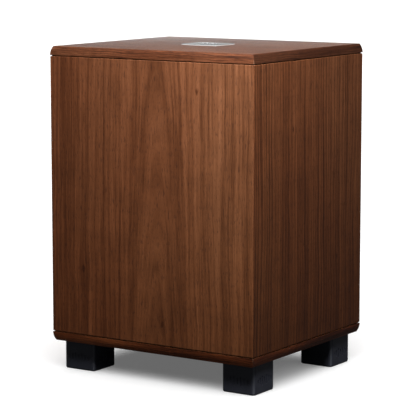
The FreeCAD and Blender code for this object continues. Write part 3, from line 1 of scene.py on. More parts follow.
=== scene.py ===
import bpy, bmesh
import json
import math
import random
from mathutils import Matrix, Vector
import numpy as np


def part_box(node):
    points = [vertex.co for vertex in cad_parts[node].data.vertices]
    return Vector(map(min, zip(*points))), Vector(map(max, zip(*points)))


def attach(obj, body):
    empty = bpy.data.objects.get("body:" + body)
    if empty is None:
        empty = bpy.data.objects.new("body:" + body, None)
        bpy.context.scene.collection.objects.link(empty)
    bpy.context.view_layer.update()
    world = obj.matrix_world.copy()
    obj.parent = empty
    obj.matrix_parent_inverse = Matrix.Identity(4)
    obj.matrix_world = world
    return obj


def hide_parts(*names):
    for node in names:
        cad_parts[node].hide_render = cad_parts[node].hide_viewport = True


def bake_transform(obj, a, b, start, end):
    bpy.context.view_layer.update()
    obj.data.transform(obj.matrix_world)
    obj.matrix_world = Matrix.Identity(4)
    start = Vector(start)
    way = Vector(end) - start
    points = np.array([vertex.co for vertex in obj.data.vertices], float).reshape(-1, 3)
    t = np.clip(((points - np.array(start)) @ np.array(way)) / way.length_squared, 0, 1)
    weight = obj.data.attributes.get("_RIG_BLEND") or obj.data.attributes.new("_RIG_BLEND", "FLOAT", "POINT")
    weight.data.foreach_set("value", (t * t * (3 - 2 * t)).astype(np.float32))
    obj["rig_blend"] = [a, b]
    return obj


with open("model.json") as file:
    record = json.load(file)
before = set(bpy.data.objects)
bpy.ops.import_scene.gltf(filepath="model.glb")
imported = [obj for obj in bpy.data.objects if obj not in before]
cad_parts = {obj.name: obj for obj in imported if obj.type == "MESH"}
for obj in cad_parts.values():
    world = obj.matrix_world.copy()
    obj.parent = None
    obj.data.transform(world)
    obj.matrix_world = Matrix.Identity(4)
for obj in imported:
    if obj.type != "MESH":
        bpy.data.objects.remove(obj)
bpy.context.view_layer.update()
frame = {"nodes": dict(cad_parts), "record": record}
NODES = frame["nodes"]

# Places taken from the CAD nodes, in metres.
lid_low, lid_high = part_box("top_lid")
base_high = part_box("base_board")[1]
CENTRE_X = (lid_low.x + lid_high.x) / 2
CENTRE_Y = (lid_low.y + lid_high.y) / 2
REAR_Y = lid_high.y
FLANGE_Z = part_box("driver_frame")[0].z
MM = 0.001

FLAT_FACE = 0.93            # a face whose normal has more z than this is flat
FACE_WIDTH = 0.32           # the width over which a wall's tan_and_shade (wood tone, and painted shade on the front) changes from its low to its high side
MITRE_HALF = 0.8 * MM       # half the width of the painted highlight along the line where a board's edge pieces meet
GAP_NECK = 1.3 * MM         # how far below the base board's top the painted light on its neck starts
LID_EDGE = 10 * MM          # how far below the lid the neck's painted light stops
THREAD_PITCH = 0.9 * MM     # in the spider's cloth
WIRE_PITCH = 0.5 * MM       # in the voice coil
TAPE_TURNS = 46             # round the transformer


# ---------------------------------------------------------------- material helpers
class Shader:
    """A material under construction: short calls that add nodes and join them."""

    def __init__(self, name, roughness=0.5, metallic=0.0):
        self.mat = bpy.data.materials.new(name)
        self.mat.use_nodes = True
        self.nodes = self.mat.node_tree.nodes
        self.links = self.mat.node_tree.links
        self.nodes.clear()
        self.out = self.nodes.new("ShaderNodeOutputMaterial")
        self.bsdf = self.nodes.new("ShaderNodeBsdfPrincipled")
        self.links.new(self.bsdf.outputs[0], self.out.inputs[0])
        self.set("Roughness", roughness)
        self.set("Metallic", metallic)
        coords = self.nodes.new("ShaderNodeTexCoord")
        self.place, self.turn = coords.outputs["Object"], coords.outputs["Normal"]

    def put(self, socket, value):
        """Links another node's output to the socket, or sets the socket to a plain value."""
        if isinstance(value, bpy.types.NodeSocket):
            self.links.new(value, socket)
        else:
            socket.default_value = value

    def set(self, name, value):
        self.put(self.bsdf.inputs[name], value)

    def math(self, op, a, b=0.0, clamp=False):
        """One Math node. a and b are outputs of other nodes, or numbers."""
        node = self.nodes.new("ShaderNodeMath")
        node.operation, node.use_clamp = op, clamp
        self.put(node.inputs[0], a)
        self.put(node.inputs[1], b)
        return node.outputs[0]

    def add(self, a, b, clamp=False):
        return self.math("ADD", a, b, clamp)

    def minus(self, a, b):
        return self.math("SUBTRACT", a, b)

    def times(self, a, b):
        return self.math("MULTIPLY", a, b)

    def above(self, a, b):
        return self.math("GREATER_THAN", a, b)

    def absolute(self, a):
        return self.math("ABSOLUTE", a)

    def split(self, vector):
        node = self.nodes.new("ShaderNodeSeparateXYZ")
        self.links.new(vector, node.inputs[0])
        return node.outputs

    def join(self, x, y, z=0.0):
        node = self.nodes.new("ShaderNodeCombineXYZ")
        for socket, value in zip(node.inputs, (x, y, z)):
            self.put(socket, value)
        return node.outputs[0]

    def scaled(self, vector, scale):
        node = self.nodes.new("ShaderNodeMapping")
        self.links.new(vector, node.inputs[0])
        node.inputs["Scale"].default_value = scale
        return node.outputs[0]

    def noise(self, vector, scale=1.0, detail=2.0, rough=0.5, distortion=0.0):
        node = self.nodes.new("ShaderNodeTexNoise")
        self.links.new(vector, node.inputs["Vector"])
        node.inputs["Scale"].default_value = scale
        node.inputs["Detail"].default_value = detail
        node.inputs["Roughness"].default_value = rough
        node.inputs["Distortion"].default_value = distortion
        return node.outputs[0]

    def ramp(self, value, *stops):
        """stops are (position, grey or colour)."""
        node = self.nodes.new("ShaderNodeValToRGB")
        self.links.new(value, node.inputs[0])
        marks = node.color_ramp.elements
        while len(marks) < len(stops):
            marks.new(0.5)
        for mark, (at, colour) in zip(marks, stops):
            mark.position = at
            mark.color = (*colour, 1) if isinstance(colour, tuple) else (colour, colour, colour, 1)
        return node.outputs[0]

    def mix(self, share, a, b, blend="MIX"):
        node = self.nodes.new("ShaderNodeMix")
        node.data_type, node.blend_type = "RGBA", blend
        self.put(node.inputs[0], share)
        self.put(node.inputs[6], (*a, 1) if isinstance(a, tuple) else a)
        self.put(node.inputs[7], (*b, 1) if isinstance(b, tuple) else b)
        return node.outputs[2]

    def blend(self, share, a, b):
        """a where share is 0 and b where it is 1, for plain numbers."""
        node = self.nodes.new("ShaderNodeMix")
        self.put(node.inputs[0], share)
        self.put(node.inputs[2], a)
        self.put(node.inputs[3], b)
        return node.outputs[0]

    def bump(self, height, depth, strength):
        node = self.nodes.new("ShaderNodeBump")
        node.inputs["Strength"].default_value = strength
        node.inputs["Distance"].default_value = depth
        self.links.new(height, node.inputs["Height"])
        self.links.new(node.outputs[0], self.bsdf.inputs["Normal"])


def faces_of_board(s):
    """(1 on a board's top and underside, 1 where a face looks more to the left or right than to the front or back)"""
    turn = s.split(s.turn)
    flat = s.above(s.absolute(turn[2]), FLAT_FACE)
    return flat, s.above(s.absolute(turn[0]), s.absolute(turn[1]))


def grain_axes(s, kind):
    """(along the grain, across the grain) for a wall whose width runs along kind, X or Y, or for a "board": the lid or
    the base, whose edges are lipped with wood that runs along them."""
    place = s.split(s.place)
    if kind != "board":
        return place[2], place["XY".index(kind)]
    flat, side = faces_of_board(s)
    along = s.blend(flat, s.blend(side, place[0], place[1]), place[0])
    return s.times(along, 4.0), s.blend(flat, s.times(place[2], 2.4), place[1])


def wood_light(s, kind, light):
    """Painted light and shade, as a factor on the wood's colour: a wall is painted darker at its foot and paler at its
    head, and a board's front edge, side edges and top each get their own painted brightness, as lit and shaded copies
    of one wood. An edge that turns downwards is painted paler, standing in for the light that it lacks from below."""
    if kind != "board":
        # Painted shade: darker towards a wall's foot, paler towards its head.
        return s.ramp(s.times(s.split(s.place)[2], 2.0), (0.1, light[0]), (0.92, light[1]))
    flat, side = faces_of_board(s)
    # Painted light and shade: a board's front edge, side edges and top each get their own brightness.
    tone = s.ramp(s.blend(flat, s.blend(side, 0.0, 0.5), 1.0), (0.0, light[0]), (0.5, light[1]), (1.0, light[2]))
    # Painted light: an edge that turns downwards is made paler.
    downward = s.times(s.split(s.turn)[2], -1.0)
    return s.mix(1.0, tone, s.ramp(downward, (0.0, 1.0), (0.5, 2.1)), "MULTIPLY")


def mitre(s):
    """1 on the thin line where a board's edge pieces meet at its corners, which is painted pale as a highlight, and 0
    elsewhere.
    """
    place = s.split(s.place)
    in_x = s.above(s.absolute(s.minus(place[0], CENTRE_X)), lid_high.x - CENTRE_X - MITRE_HALF)
    in_y = s.above(s.absolute(s.minus(place[1], CENTRE_Y)), lid_high.y - CENTRE_Y - MITRE_HALF)
    return s.times(in_x, in_y)


def board_details(s, colour):
    """Adds a board's painted highlight along its mitre lines, painted light on the neck in the shaded gap over the
    base, and the black paint underneath.
    """
    # Painted highlight: the mitre lines are made paler.
    colour = s.mix(s.times(mitre(s), 0.5), colour, (0.26, 0.14, 0.085))
    height = s.split(s.place)[2]
    above_base = s.above(height, base_high.z - GAP_NECK)
    neck = s.times(above_base, s.math("LESS_THAN", height, lid_low.z - LID_EDGE))
    # Painted light: the neck in the shaded gap over the base is made paler.
    colour = s.mix(neck, colour, (0.30, 0.14, 0.06))
    under = s.math("LESS_THAN", s.split(s.turn)[2], -FLAT_FACE)
    speck = s.noise(s.place, 1400, 3)
    return s.mix(under, colour, s.ramp(speck, (0.35, 0.008), (0.65, 0.02)))


def bend_round_knots(s, across, along, knots):
    """Pushes the grain round each (across, along, size) pin knot. Returns the bent coordinate and how dark the knots
    make the wood."""
    bent, dark = across, 0.0
    for at_across, at_along, size in knots:
        du = s.minus(across, at_across)
        dv = s.times(s.minus(along, at_along), 0.45)
        far = s.math("SQRT", s.add(s.times(du, du), s.times(dv, dv)))
        bend = s.math("EXPONENT", s.times(far, -0.45 / size))
        bent = s.minus(bent, s.times(s.times(du, bend), 0.75))
        spot = s.ramp(s.math("DIVIDE", far, size * 4), (0.08, 0.85), (0.32, 0.0))
        dark = s.math("MAXIMUM", dark, spot)
    return bent, dark


def log_cut(s, along, across, seed, figure, knots):
    """Where each point of the face lay in the log: (its place on the flat face, its distance from the pith, its place
    by growth ring, how dark the knots make it). figure is as for walnut."""
    pith, depth, lean = figure
    flat_place = s.join(across, along, seed)
    wander = s.minus(s.noise(s.scaled(flat_place, (8, 3.2, 1)), detail=2), 0.5)
    ripple = s.minus(s.noise(s.scaled(flat_place, (42, 17, 1)), detail=2), 0.5)
    bent, knot = bend_round_knots(s, across, along, knots)
    u = s.add(s.minus(bent, pith), s.times(wander, 0.018))
    u = s.add(u, s.times(ripple, 0.0034))
    w = s.add(s.times(s.minus(along, 0.25), lean), depth)
    ring = s.math("SQRT", s.add(s.times(u, u), s.times(w, w)))
    grain = s.join(ring, along, s.add(s.times(u, 5.0), seed))
    return flat_place, ring, grain, knot


def bands_and_lines(s, flat_place, ring, grain, fibres, stripe):
    """How pale the figure is: wide, narrow and fine bands, the ribbon, the fibres, less the thin dark growth lines."""
    bands = s.noise(s.scaled(grain, (62, 1.1, 1)), detail=1)
    narrow = s.noise(s.scaled(grain, (230, 3.0, 1)), detail=1)
    fine = s.noise(s.scaled(grain, (620, 13.0, 1)), detail=2, rough=0.6)
    phase = s.add(s.times(ring, 880.0), s.times(bands, 9.0))
    ribbon = s.times(s.math("SINE", phase), s.noise(s.scaled(grain, (25, 1.5, 1)), detail=1))
    rings = s.noise(s.scaled(grain, (55, 0.5, 2)), detail=1.5)
    edge = s.ramp(s.absolute(s.minus(rings, 0.5)), (0.0, 1.0), (0.022, 0.0))
    patchy = s.ramp(s.noise(s.scaled(flat_place, (28, 7, 1)), detail=1), (0.38, 0.15), (0.62, 1.0))
    value = s.add(s.times(bands, 0.33), s.times(narrow, 0.29))
    value = s.add(value, s.times(fine, 0.38))
    value = s.add(value, s.times(ribbon, 0.13 * stripe))
    value = s.add(value, s.times(s.minus(fibres, 0.5), 0.26))
    return s.minus(value, s.times(s.times(edge, patchy), 0.12))


def walnut(name, seed, kind, figure, tan_and_shade, stripe, light, knots=()):
    """Oiled walnut veneer, sliced from a log. figure is (pith, depth, lean): where the log's middle lies across the
    face, how far behind it, and how fast that depth changes along the grain. A pith within the face gives a slender
    arched figure, and a far one straight stripes. tan_and_shade is how much of the paler wood shows at the face's low
    and high side: wood tone, which on the front wall also paints shade, darker towards its left. stripe is how
    strongly the ribbon of narrow stripes shows. light is painted light and shade: how pale the wood is painted at a
    wall's foot and head, or along a board's front edge, its side edges and its top."""
    s = Shader(name)
    along, across = grain_axes(s, kind)
    flat_place, ring, grain, knot = log_cut(s, along, across, seed, figure, knots)
    fibres = s.noise(s.scaled(flat_place, (1300, 40, 1)), detail=2, rough=0.65)
    value = s.minus(bands_and_lines(s, flat_place, ring, grain, fibres, stripe), s.times(knot, 0.35))
    if kind == "board":
        value = s.add(s.times(value, 1.9), -0.45)

    red = s.ramp(value, (0.25, (0.042, 0.0110, 0.0030)), (0.42, (0.086, 0.0255, 0.0083)),
                 (0.56, (0.138, 0.0445, 0.0162)), (0.75, (0.215, 0.0765, 0.032)))
    pale = s.ramp(value, (0.25, (0.058, 0.0188, 0.0060)), (0.42, (0.108, 0.0385, 0.0146)),
                  (0.56, (0.168, 0.0645, 0.0270)), (0.75, (0.245, 0.102, 0.047)))
    cloud = s.minus(s.noise(s.scaled(flat_place, (6, 2.4, 1)), detail=1), 0.5)
    # Paler wood towards the high side: wood tone, and on the front wall painted shade, darker to the left.
    share = s.add(s.times(across, (tan_and_shade[1] - tan_and_shade[0]) / FACE_WIDTH), (tan_and_shade[0] + tan_and_shade[1]) / 2)
    share = s.add(share, s.times(cloud, 1.6), clamp=True)
    colour = s.mix(share, red, pale)

    pores = s.ramp(s.noise(s.scaled(flat_place, (1300, 130, 1)), detail=1), (0.31, 0.0), (0.40, 1.0))
    dashes = s.ramp(s.noise(s.scaled(flat_place, (560, 70, 1)), detail=1), (0.29, 0.0), (0.37, 1.0))
    open_grain = s.times(pores, dashes)
    colour = s.mix(0.6, colour, s.mix(open_grain, (0.32, 0.25, 0.2), (1.0, 1.0, 1.0)), "MULTIPLY")
    shimmer = s.noise(s.scaled(flat_place, (22, 34, 1)), detail=2)
    colour = s.mix(1.0, colour, s.ramp(shimmer, (0.3, 0.91), (0.7, 1.09)), "MULTIPLY")
    # Painted light and shade over the whole wood colour.
    colour = s.mix(1.0, colour, wood_light(s, kind, light), "MULTIPLY")
    s.set("Roughness", s.blend(open_grain, 0.62, s.blend(fibres, 0.38, 0.5)))
    s.set("Specular IOR Level", 0.3)
    s.set("Coat Weight", 0.04)
    s.set("Coat Roughness", 0.3)
    relief = s.add(s.times(open_grain, 0.7), s.times(fibres, 0.3))
    s.bump(relief, 0.00012, 0.5)
    s.set("Base Color", board_details(s, colour) if kind == "board" else colour)
    return s.mat


def fibreboard(name):
    """Bare medium-density board: pressed brown fibres."""
    s = Shader(name, 0.85)
    spot = s.noise(s.place, 900, 4, 0.7)
    cloud = s.noise(s.place, 18, 2)
    colour = s.ramp(spot, (0.3, (0.20, 0.115, 0.055)), (0.7, (0.38, 0.245, 0.13)))
    s.set("Base Color", s.mix(0.35, colour, s.ramp(cloud, (0.3, 0.7), (0.7, 1.1)), "MULTIPLY"))
    s.bump(spot, 0.0002, 0.5)
    return s.mat


def rubber(name, colour, dust, grain, rough, shine=0.25, corner_highlight=0.0):
    """Moulded rubber: fine surface grain with a faint grey bloom. corner_highlight is how much upright rounded corners
    are painted a lighter grey, as a painted highlight."""
    s = Shader(name, rough)
    bloom = s.noise(s.place, 28, 4, 0.6)
    fine = s.noise(s.place, grain, 2)
    pale = tuple(min(1.0, c * 1.9 + 0.003) for c in colour)
    shade = s.mix(s.times(s.ramp(bloom, (0.4, 0.0), (0.75, 1.0)), dust), colour, pale)
    if corner_highlight:
        # Painted highlight on the upright rounded corners.
        turn = s.split(s.turn)
        diagonal = s.absolute(s.times(turn[0], turn[1]))
        corner = s.ramp(diagonal, (0.36, 0.0), (0.49, corner_highlight))
        shade = s.mix(corner, shade, (0.105, 0.112, 0.135))
    s.set("Base Color", shade)
    s.set("Roughness", s.ramp(bloom, (0.3, rough - 0.08), (0.7, rough + 0.1)))
    s.set("Specular IOR Level", shine)
    s.bump(fine, 0.00006, 0.5)
    return s.mat


def plastic(name, colour, rough, grain=1800, depth=0.00004):
    """Moulded plastic: a fine texture over slow changes of tone."""
    s = Shader(name, rough)
    fine = s.noise(s.place, grain, 3, 0.6)
    wide = s.noise(s.place, 40, 3)
    s.set("Base Color", s.mix(s.ramp(wide, (0.3, 0.0), (0.7, 1.0)), colour, tuple(c * 1.25 + 0.002 for c in colour)))
    s.set("Roughness", s.ramp(fine, (0.3, rough - 0.06), (0.7, rough + 0.08)))
    s.bump(fine, depth, 0.4)
    return s.mat


def metal(name, colour, rough, streak, wear=0.12, depth=0.00002, edge=None):
    """Bare metal whose finish runs along the axis with the smallest streak number. edge is a pale matt colour painted
    on the faces that don't face up, on a plate that faces up: a painted highlight on its rim."""
    s = Shader(name, rough, 1.0)
    lines = s.noise(s.scaled(s.place, streak), detail=3, rough=0.6)
    cloud = s.noise(s.place, 60, 3)
    shade = s.mix(s.ramp(lines, (0.32, 0.0), (0.68, 1.0)), tuple(c * 0.72 for c in colour), colour)
    if edge:
        # Painted highlight: the faces that don't face up get the pale matt edge colour.
        upward = s.ramp(s.split(s.turn)[2], (0.3, 0.0), (0.8, 1.0))
        s.set("Metallic", upward)
        shade = s.mix(upward, edge, shade)
    s.set("Base Color", shade)
    worn = s.ramp(lines, (0.3, rough - wear / 2), (0.7, rough + wear / 2))
    s.set("Roughness", s.add(worn, s.times(cloud, 0.08)))
    s.bump(lines, depth, 0.4)
    return s.mat


def paint(name, colour, rough, grain, depth):
    """Powder coating: an orange-peel surface with tiny pale specks."""
    s = Shader(name, rough)
    peel = s.noise(s.place, grain, 2, 0.5)
    speck = s.noise(s.place, grain * 3, 1)
    s.set("Base Color", s.mix(s.ramp(speck, (0.6, 0.0), (0.72, 0.5)), colour, tuple(c * 2 + 0.01 for c in colour)))
    s.set("Roughness", s.ramp(peel, (0.3, rough - 0.08), (0.7, rough + 0.08)))
    s.bump(peel, depth, 0.6)
    return s.mat


def paper_cone(name):
    """Pressed paper pulp with long fibres."""
    s = Shader(name, 0.7)
    fibre = s.noise(s.place, 420, 5, 0.75, 1.5)
    fleck = s.noise(s.place, 2300, 2)
    s.set("Base Color", s.ramp(fibre, (0.35, 0.012), (0.55, 0.022), (0.72, 0.05)))
    s.set("Specular IOR Level", 0.35)
    s.bump(s.add(fibre, s.times(fleck, 0.4)), 0.0003, 0.7)
    return s.mat


def half_up(s, value):
    """A value between -1 and 1, moved to run from 0 to 1."""
    return s.add(s.times(value, 0.5), 0.5)


def woven(name, colour):
    """A plain weave of threads in the plane of X and Y."""
    s = Shader(name, 0.8)
    place = s.split(s.place)
    warp, weft = (s.math("SINE", s.times(place[axis], 2 * math.pi / THREAD_PITCH)) for axis in (0, 1))
    weave = half_up(s, s.times(warp, weft))
    dirt = s.noise(s.place, 120, 3)
    # Painted shade: the weave is darker in its hollows, paler on the raised threads.
    shade = s.ramp(weave, (0.1, tuple(c * 0.45 for c in colour)), (0.9, colour))
    s.set("Base Color", s.mix(0.4, shade, s.ramp(dirt, (0.3, 0.7), (0.7, 1.1)), "MULTIPLY"))
    s.bump(weave, 0.0002, 0.6)
    return s.mat


def fluffy(name, colour):
    """Matted polyester fibres."""
    s = Shader(name, 0.95)
    tuft = s.noise(s.place, 160, 6, 0.75, 2.0)
    strand = s.noise(s.place, 1400, 3, 0.7, 1.0)
    # Painted shade: the batt is darker where its surface dips between tufts.
    s.set("Base Color", s.ramp(tuft, (0.3, tuple(c * 0.6 for c in colour)), (0.65, colour)))
    s.set("Sheen Weight", 0.4)
    s.bump(s.add(tuft, s.times(strand, 0.3)), 0.003, 0.8)
    return s.mat


def circuit(name):
    """Green solder resist over faint copper tracks."""
    s = Shader(name, 0.32)
    place = s.split(s.place)
    brick = s.nodes.new("ShaderNodeTexBrick")
    s.links.new(s.join(place[0], place[2]), brick.inputs["Vector"])
    brick.inputs["Scale"].default_value = 70
    brick.inputs["Mortar Size"].default_value = 0.02
    track = brick.outputs["Fac"]
    mottle = s.noise(s.place, 250, 3)
    resist = s.ramp(mottle, (0.3, (0.004, 0.055, 0.026)), (0.7, (0.008, 0.085, 0.04)))
    s.set("Base Color", s.mix(track, resist, (0.02, 0.15, 0.06)))
    s.bump(track, 0.00005, 0.5)
    return s.mat


def wound(name):
    """Yellow tape wound round the transformer, each turn showing."""
    s = Shader(name, 0.35)
    low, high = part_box("transformer")
    place = s.split(s.place)
    dx = s.minus(place[0], (low.x + high.x) / 2)
    dz = s.minus(place[2], (low.z + high.z) / 2)
    angle = s.add(s.math("ARCTAN2", dz, dx), s.times(place[1], 9.0))
    turns = s.math("SINE", s.times(angle, TAPE_TURNS))
    # Painted shade in the seam between turns, and a painted highlight towards each turn's crest.
    shade = s.ramp(half_up(s, turns), (0.0, (0.30, 0.17, 0.03)), (0.25, (0.62, 0.40, 0.09)), (1.0, (0.72, 0.50, 0.14)))
    s.set("Base Color", shade)
    s.set("Coat Weight", 0.4)
    s.bump(turns, 0.0002, 0.6)
    return s.mat


def copper_wire(name):
    """Fine copper wire, wound in close turns about the vertical."""
    s = Shader(name, 0.28, 1.0)
    turns = s.math("SINE", s.times(s.split(s.place)[2], 2 * math.pi / WIRE_PITCH))
    # Painted highlight on each turn's crest and painted shade in the groove between turns.
    s.set("Base Color", s.ramp(half_up(s, turns), (0.0, (0.35, 0.12, 0.05)), (0.8, (0.85, 0.42, 0.2))))
    s.bump(turns, 0.0001, 0.8)
    return s.mat


def lamp(name, colour):
    """A lit indicator's lens."""
    s = Shader(name, 0.15)
    haze = s.noise(s.place, 900, 2)
    s.set("Base Color", s.ramp(haze, (0.3, tuple(c * 0.8 for c in colour)), (0.7, colour)))
    s.set("Coat Weight", 0.5)
    s.set("Emission Color", (*colour, 1))
    s.set("Emission Strength", 0.6)
    return s.mat


def ink(name, value):
    """Screen-printed ink of one grey value."""
    s = Shader(name, 0.6)
    patch = s.noise(s.place, 2200, 3)
    s.set("Base Color", s.ramp(patch, (0.3, value * 0.85), (0.7, value)))
    return s.mat


# Each material's maker, and what the maker is given after the name.
RECIPES = {
    # For walnut, the colours after the stripe strength are painted light and shade: foot to head, or face by face.
    "walnut_front": (walnut, 3.0, "X", (0.012, 0.035, 0.035), (0.0, 0.95), 0.4,
                     ((0.90, 0.82, 0.68), (1.03, 1.03, 1.08)),
                     ((0.078, 0.405, 0.0021), (-0.112, 0.150, 0.0024), (0.021, 0.085, 0.0019))),
    "walnut_rear": (walnut, 8.0, "X", (-0.03, 0.04, -0.03), (0.6, 0.2), 0.5,
                    ((0.88, 0.78, 0.62), (1.0, 1.0, 1.0))),
    "walnut_right": (walnut, 5.0, "Y", (0.6, 0.05, 0.03), (0.15, 0.2), 1.15,
                     ((0.59, 0.49, 0.29), (0.99, 0.99, 0.97)),
                     ((-0.052, 0.352, 0.0019), (0.070, 0.162, 0.0019))),
    "walnut_left": (walnut, 11.0, "Y", (-0.5, 0.05, 0.03), (0.2, 0.3), 0.9,
                    ((0.84, 0.73, 0.56), (1.0, 1.0, 1.0))),
    "walnut_lid": (walnut, 14.0, "board", (0.9, 0.02, 0.02), (0.0, 0.1), 0.3,
                   ((0.65, 0.59, 0.60), (0.31, 0.265, 0.25), (0.50, 0.495, 0.465))),
    "walnut_base": (walnut, 17.0, "board", (-0.3, 0.02, 0.02), (0.0, 0.0), 0.3,
                    ((0.82, 0.60, 0.37), (0.68, 0.42, 0.20), 0.8)),
    "fibreboard": (fibreboard,),
    "wadding": (fluffy, (0.78, 0.78, 0.75)),
    # The last colour of badge_steel is the painted highlight on its rim.
    "badge_steel": (metal, (0.14, 0.153, 0.162), 0.26, (40, 2600, 2600), 0.1, 0.00002, (0.46, 0.47, 0.475)),
    "bright_chrome": (metal, (0.78, 0.79, 0.81), 0.12, (900, 900, 900), 0.05, 0.000005),
    # The last number of foot_rubber is its painted corner highlight.
    "foot_rubber": (rubber, (0.036, 0.039, 0.055), 0.3, 2600, 0.42, 0.5, 0.7),
    "zinc_steel": (metal, (0.56, 0.57, 0.56), 0.34, (500, 500, 500), 0.15),
    "black_steel": (paint, (0.02, 0.02, 0.021), 0.38, 2500, 0.00002),
    "frame_black": (paint, (0.014, 0.014, 0.015), 0.5, 1400, 0.00012),
    "gasket_foam": (rubber, (0.016, 0.016, 0.016), 0.3, 900, 0.85),
    "trim_plastic": (plastic, (0.014, 0.014, 0.014), 0.5),
    "surround_rubber": (rubber, (0.010, 0.010, 0.011), 0.35, 3000, 0.5),
    "cone_pulp": (paper_cone,),
    "spider_cloth": (woven, (0.62, 0.42, 0.16)),
    "former_aluminium": (metal, (0.72, 0.73, 0.74), 0.3, (700, 700, 60)),
    "coil_copper": (copper_wire,),
    "magnet_ferrite": (plastic, (0.035, 0.035, 0.038), 0.7, 700, 0.0001),
    "circuit_board": (circuit,),
    "capacitor_sleeve": (plastic, (0.012, 0.016, 0.035), 0.22, 300, 0.00001),
    "heatsink_aluminium": (metal, (0.30, 0.30, 0.31), 0.42, (60, 1800, 1800)),
    "chip_plastic": (plastic, (0.02, 0.02, 0.02), 0.6),
    "winding_copper": (wound,),
    "amp_black": (paint, (0.0125, 0.0125, 0.0135), 0.46, 1700, 0.0001),
    "knob_plastic": (plastic, (0.016, 0.016, 0.017), 0.42, 2200),
    "pot_zinc": (metal, (0.52, 0.52, 0.50), 0.36, (300, 2400, 300)),
    "switch_nickel": (metal, (0.74, 0.72, 0.68), 0.18, (900, 900, 900), 0.06, 0.000005),
    "black_plastic": (plastic, (0.012, 0.012, 0.012), 0.32),
    "gold_plate": (metal, (0.85, 0.60, 0.22), 0.2, (800, 800, 800), 0.08, 0.000005),
    "jack_plastic": (plastic, (0.42, 0.012, 0.012), 0.35),
    "socket_plastic": (plastic, (0.02, 0.035, 0.085), 0.42),
    "light_lens": (lamp, (0.08, 0.75, 0.2)),
    "lead_cover": (rubber, (0.36, 0.012, 0.012), 0.1, 2000, 0.45),
    "tinsel_copper": (metal, (0.80, 0.50, 0.28), 0.35, (1500, 1500, 1500), 0.2, 0.0001),
    "print_white": (ink, 0.72),
}
MATERIALS = {name: make(name, *values) for name, (make, *values) in RECIPES.items()}
# The nodes that share a slot but not a material: each wall and board has its own figure.
NODE_MATERIAL = {
    "front_panel": "walnut_front", "rear_panel": "walnut_rear", "left_panel": "walnut_left",
    "right_panel": "walnut_right", "top_lid": "walnut_lid", "base_board": "walnut_base",
}


def dress_cad_nodes():
    """Each CAD node takes its own material, or the one named after its slot in the record."""
    slots = {part["node"]: part["material_slot"] for part in frame["record"]["subparts"]}
    for name, obj in NODES.items():
        material = MATERIALS[NODE_MATERIAL.get(name, slots[name])]
        obj.data.materials.clear()
        obj.data.materials.append(material)


# ---------------------------------------------------------------- mesh helpers
def new_piece(name, mesh, material, body=None, smooth=True):
    """An object made of mesh, in one of MATERIALS. It rides on body, if one is named."""
    obj = bpy.data.objects.new(name, mesh)
    bpy.context.scene.collection.objects.link(obj)
    mesh.materials.append(MATERIALS[material])
    for face in mesh.polygons:
        face.use_smooth = smooth
    if body:
        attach(obj, body)
    return obj


def mesh_from(name, verts, faces):
    """A mesh of these points and faces, in metres."""
    mesh = bpy.data.meshes.new(name)
    mesh.from_pydata(verts, [], faces)
    mesh.update()
    return mesh


def turned(name, profile, count=144):
    """A closed (radius, height) outline in millimetres, turned about the driver's axis."""
    angles = [2 * math.pi * i / count for i in range(count)]
    verts = [(CENTRE_X + r * MM * math.cos(a), CENTRE_Y + r * MM * math.sin(a), FLANGE_Z + h * MM)
             for a in angles for r, h in profile]
    n = len(profile)
    faces = []
    for i in range(count):
        here, there = i * n, (i + 1) % count * n
        for k in range(n):
            m = (k + 1) % n
            faces.append((here + k, there + k, there + m, here + m))
    mesh = mesh_from(name, verts, faces)
    bm = bmesh.new()
    bm.from_mesh(mesh)
    bmesh.ops.recalc_face_normals(bm, faces=bm.faces)
    bm.to_mesh(mesh)
    bm.free()
    return mesh


def blend_by_radius(obj, moving, r_in, r_out):
    """obj follows the moving body inside r_in and the cabinet outside r_out, turning smoothly between them."""
    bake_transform(obj, "cabinet", moving, (CENTRE_X + r_out * MM, CENTRE_Y, FLANGE_Z),
             (CENTRE_X + r_in * MM, CENTRE_Y, FLANGE_Z))
    weights = obj.data.attributes["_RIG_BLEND"].data
    for vertex, weight in zip(obj.data.vertices, weights):
        r = math.hypot(vertex.co.x - CENTRE_X, vertex.co.y - CENTRE_Y) / MM
        t = min(1.0, max(0.0, (r_out - r) / (r_out - r_in)))
        weight.value = t * t * (3 - 2 * t)


# ---------------------------------------------------------------- the driver's soft parts
def surround():
    """A half-roll of rubber with two flat lips, as in the CAD solid, with softer turns."""
    low, high, inner, outer = 1.3, 2.5, 80.0, 102.0
    lip_outer, lip_inner, wall, turn = 110.6, 73.3, 1.2, 0.6
    middle, roll = (inner + outer) / 2, (outer - inner) / 2
    steps = 28
    angles = [math.pi * i / steps for i in range(1, steps)]
    front = [(middle + roll * math.cos(a), low - roll * math.sin(a)) for a in angles]
    back = [(middle - (roll - wall) * math.cos(a), low + wall - (roll - 1.0) * math.sin(a)) for a in angles]
    profile = [(lip_outer, high), (lip_outer, low + 0.15), (lip_outer - 0.3, low), (outer + turn, low), *front,
               (inner - turn, low), (lip_inner + 0.2, low), (lip_inner, low + 0.3), (lip_inner, high), *back]
    obj = new_piece("surround_roll", turned("surround_roll", profile, 180), "surround_rubber")
    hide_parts("driver_surround")
    blend_by_radius(obj, "cone_assembly", inner, outer)


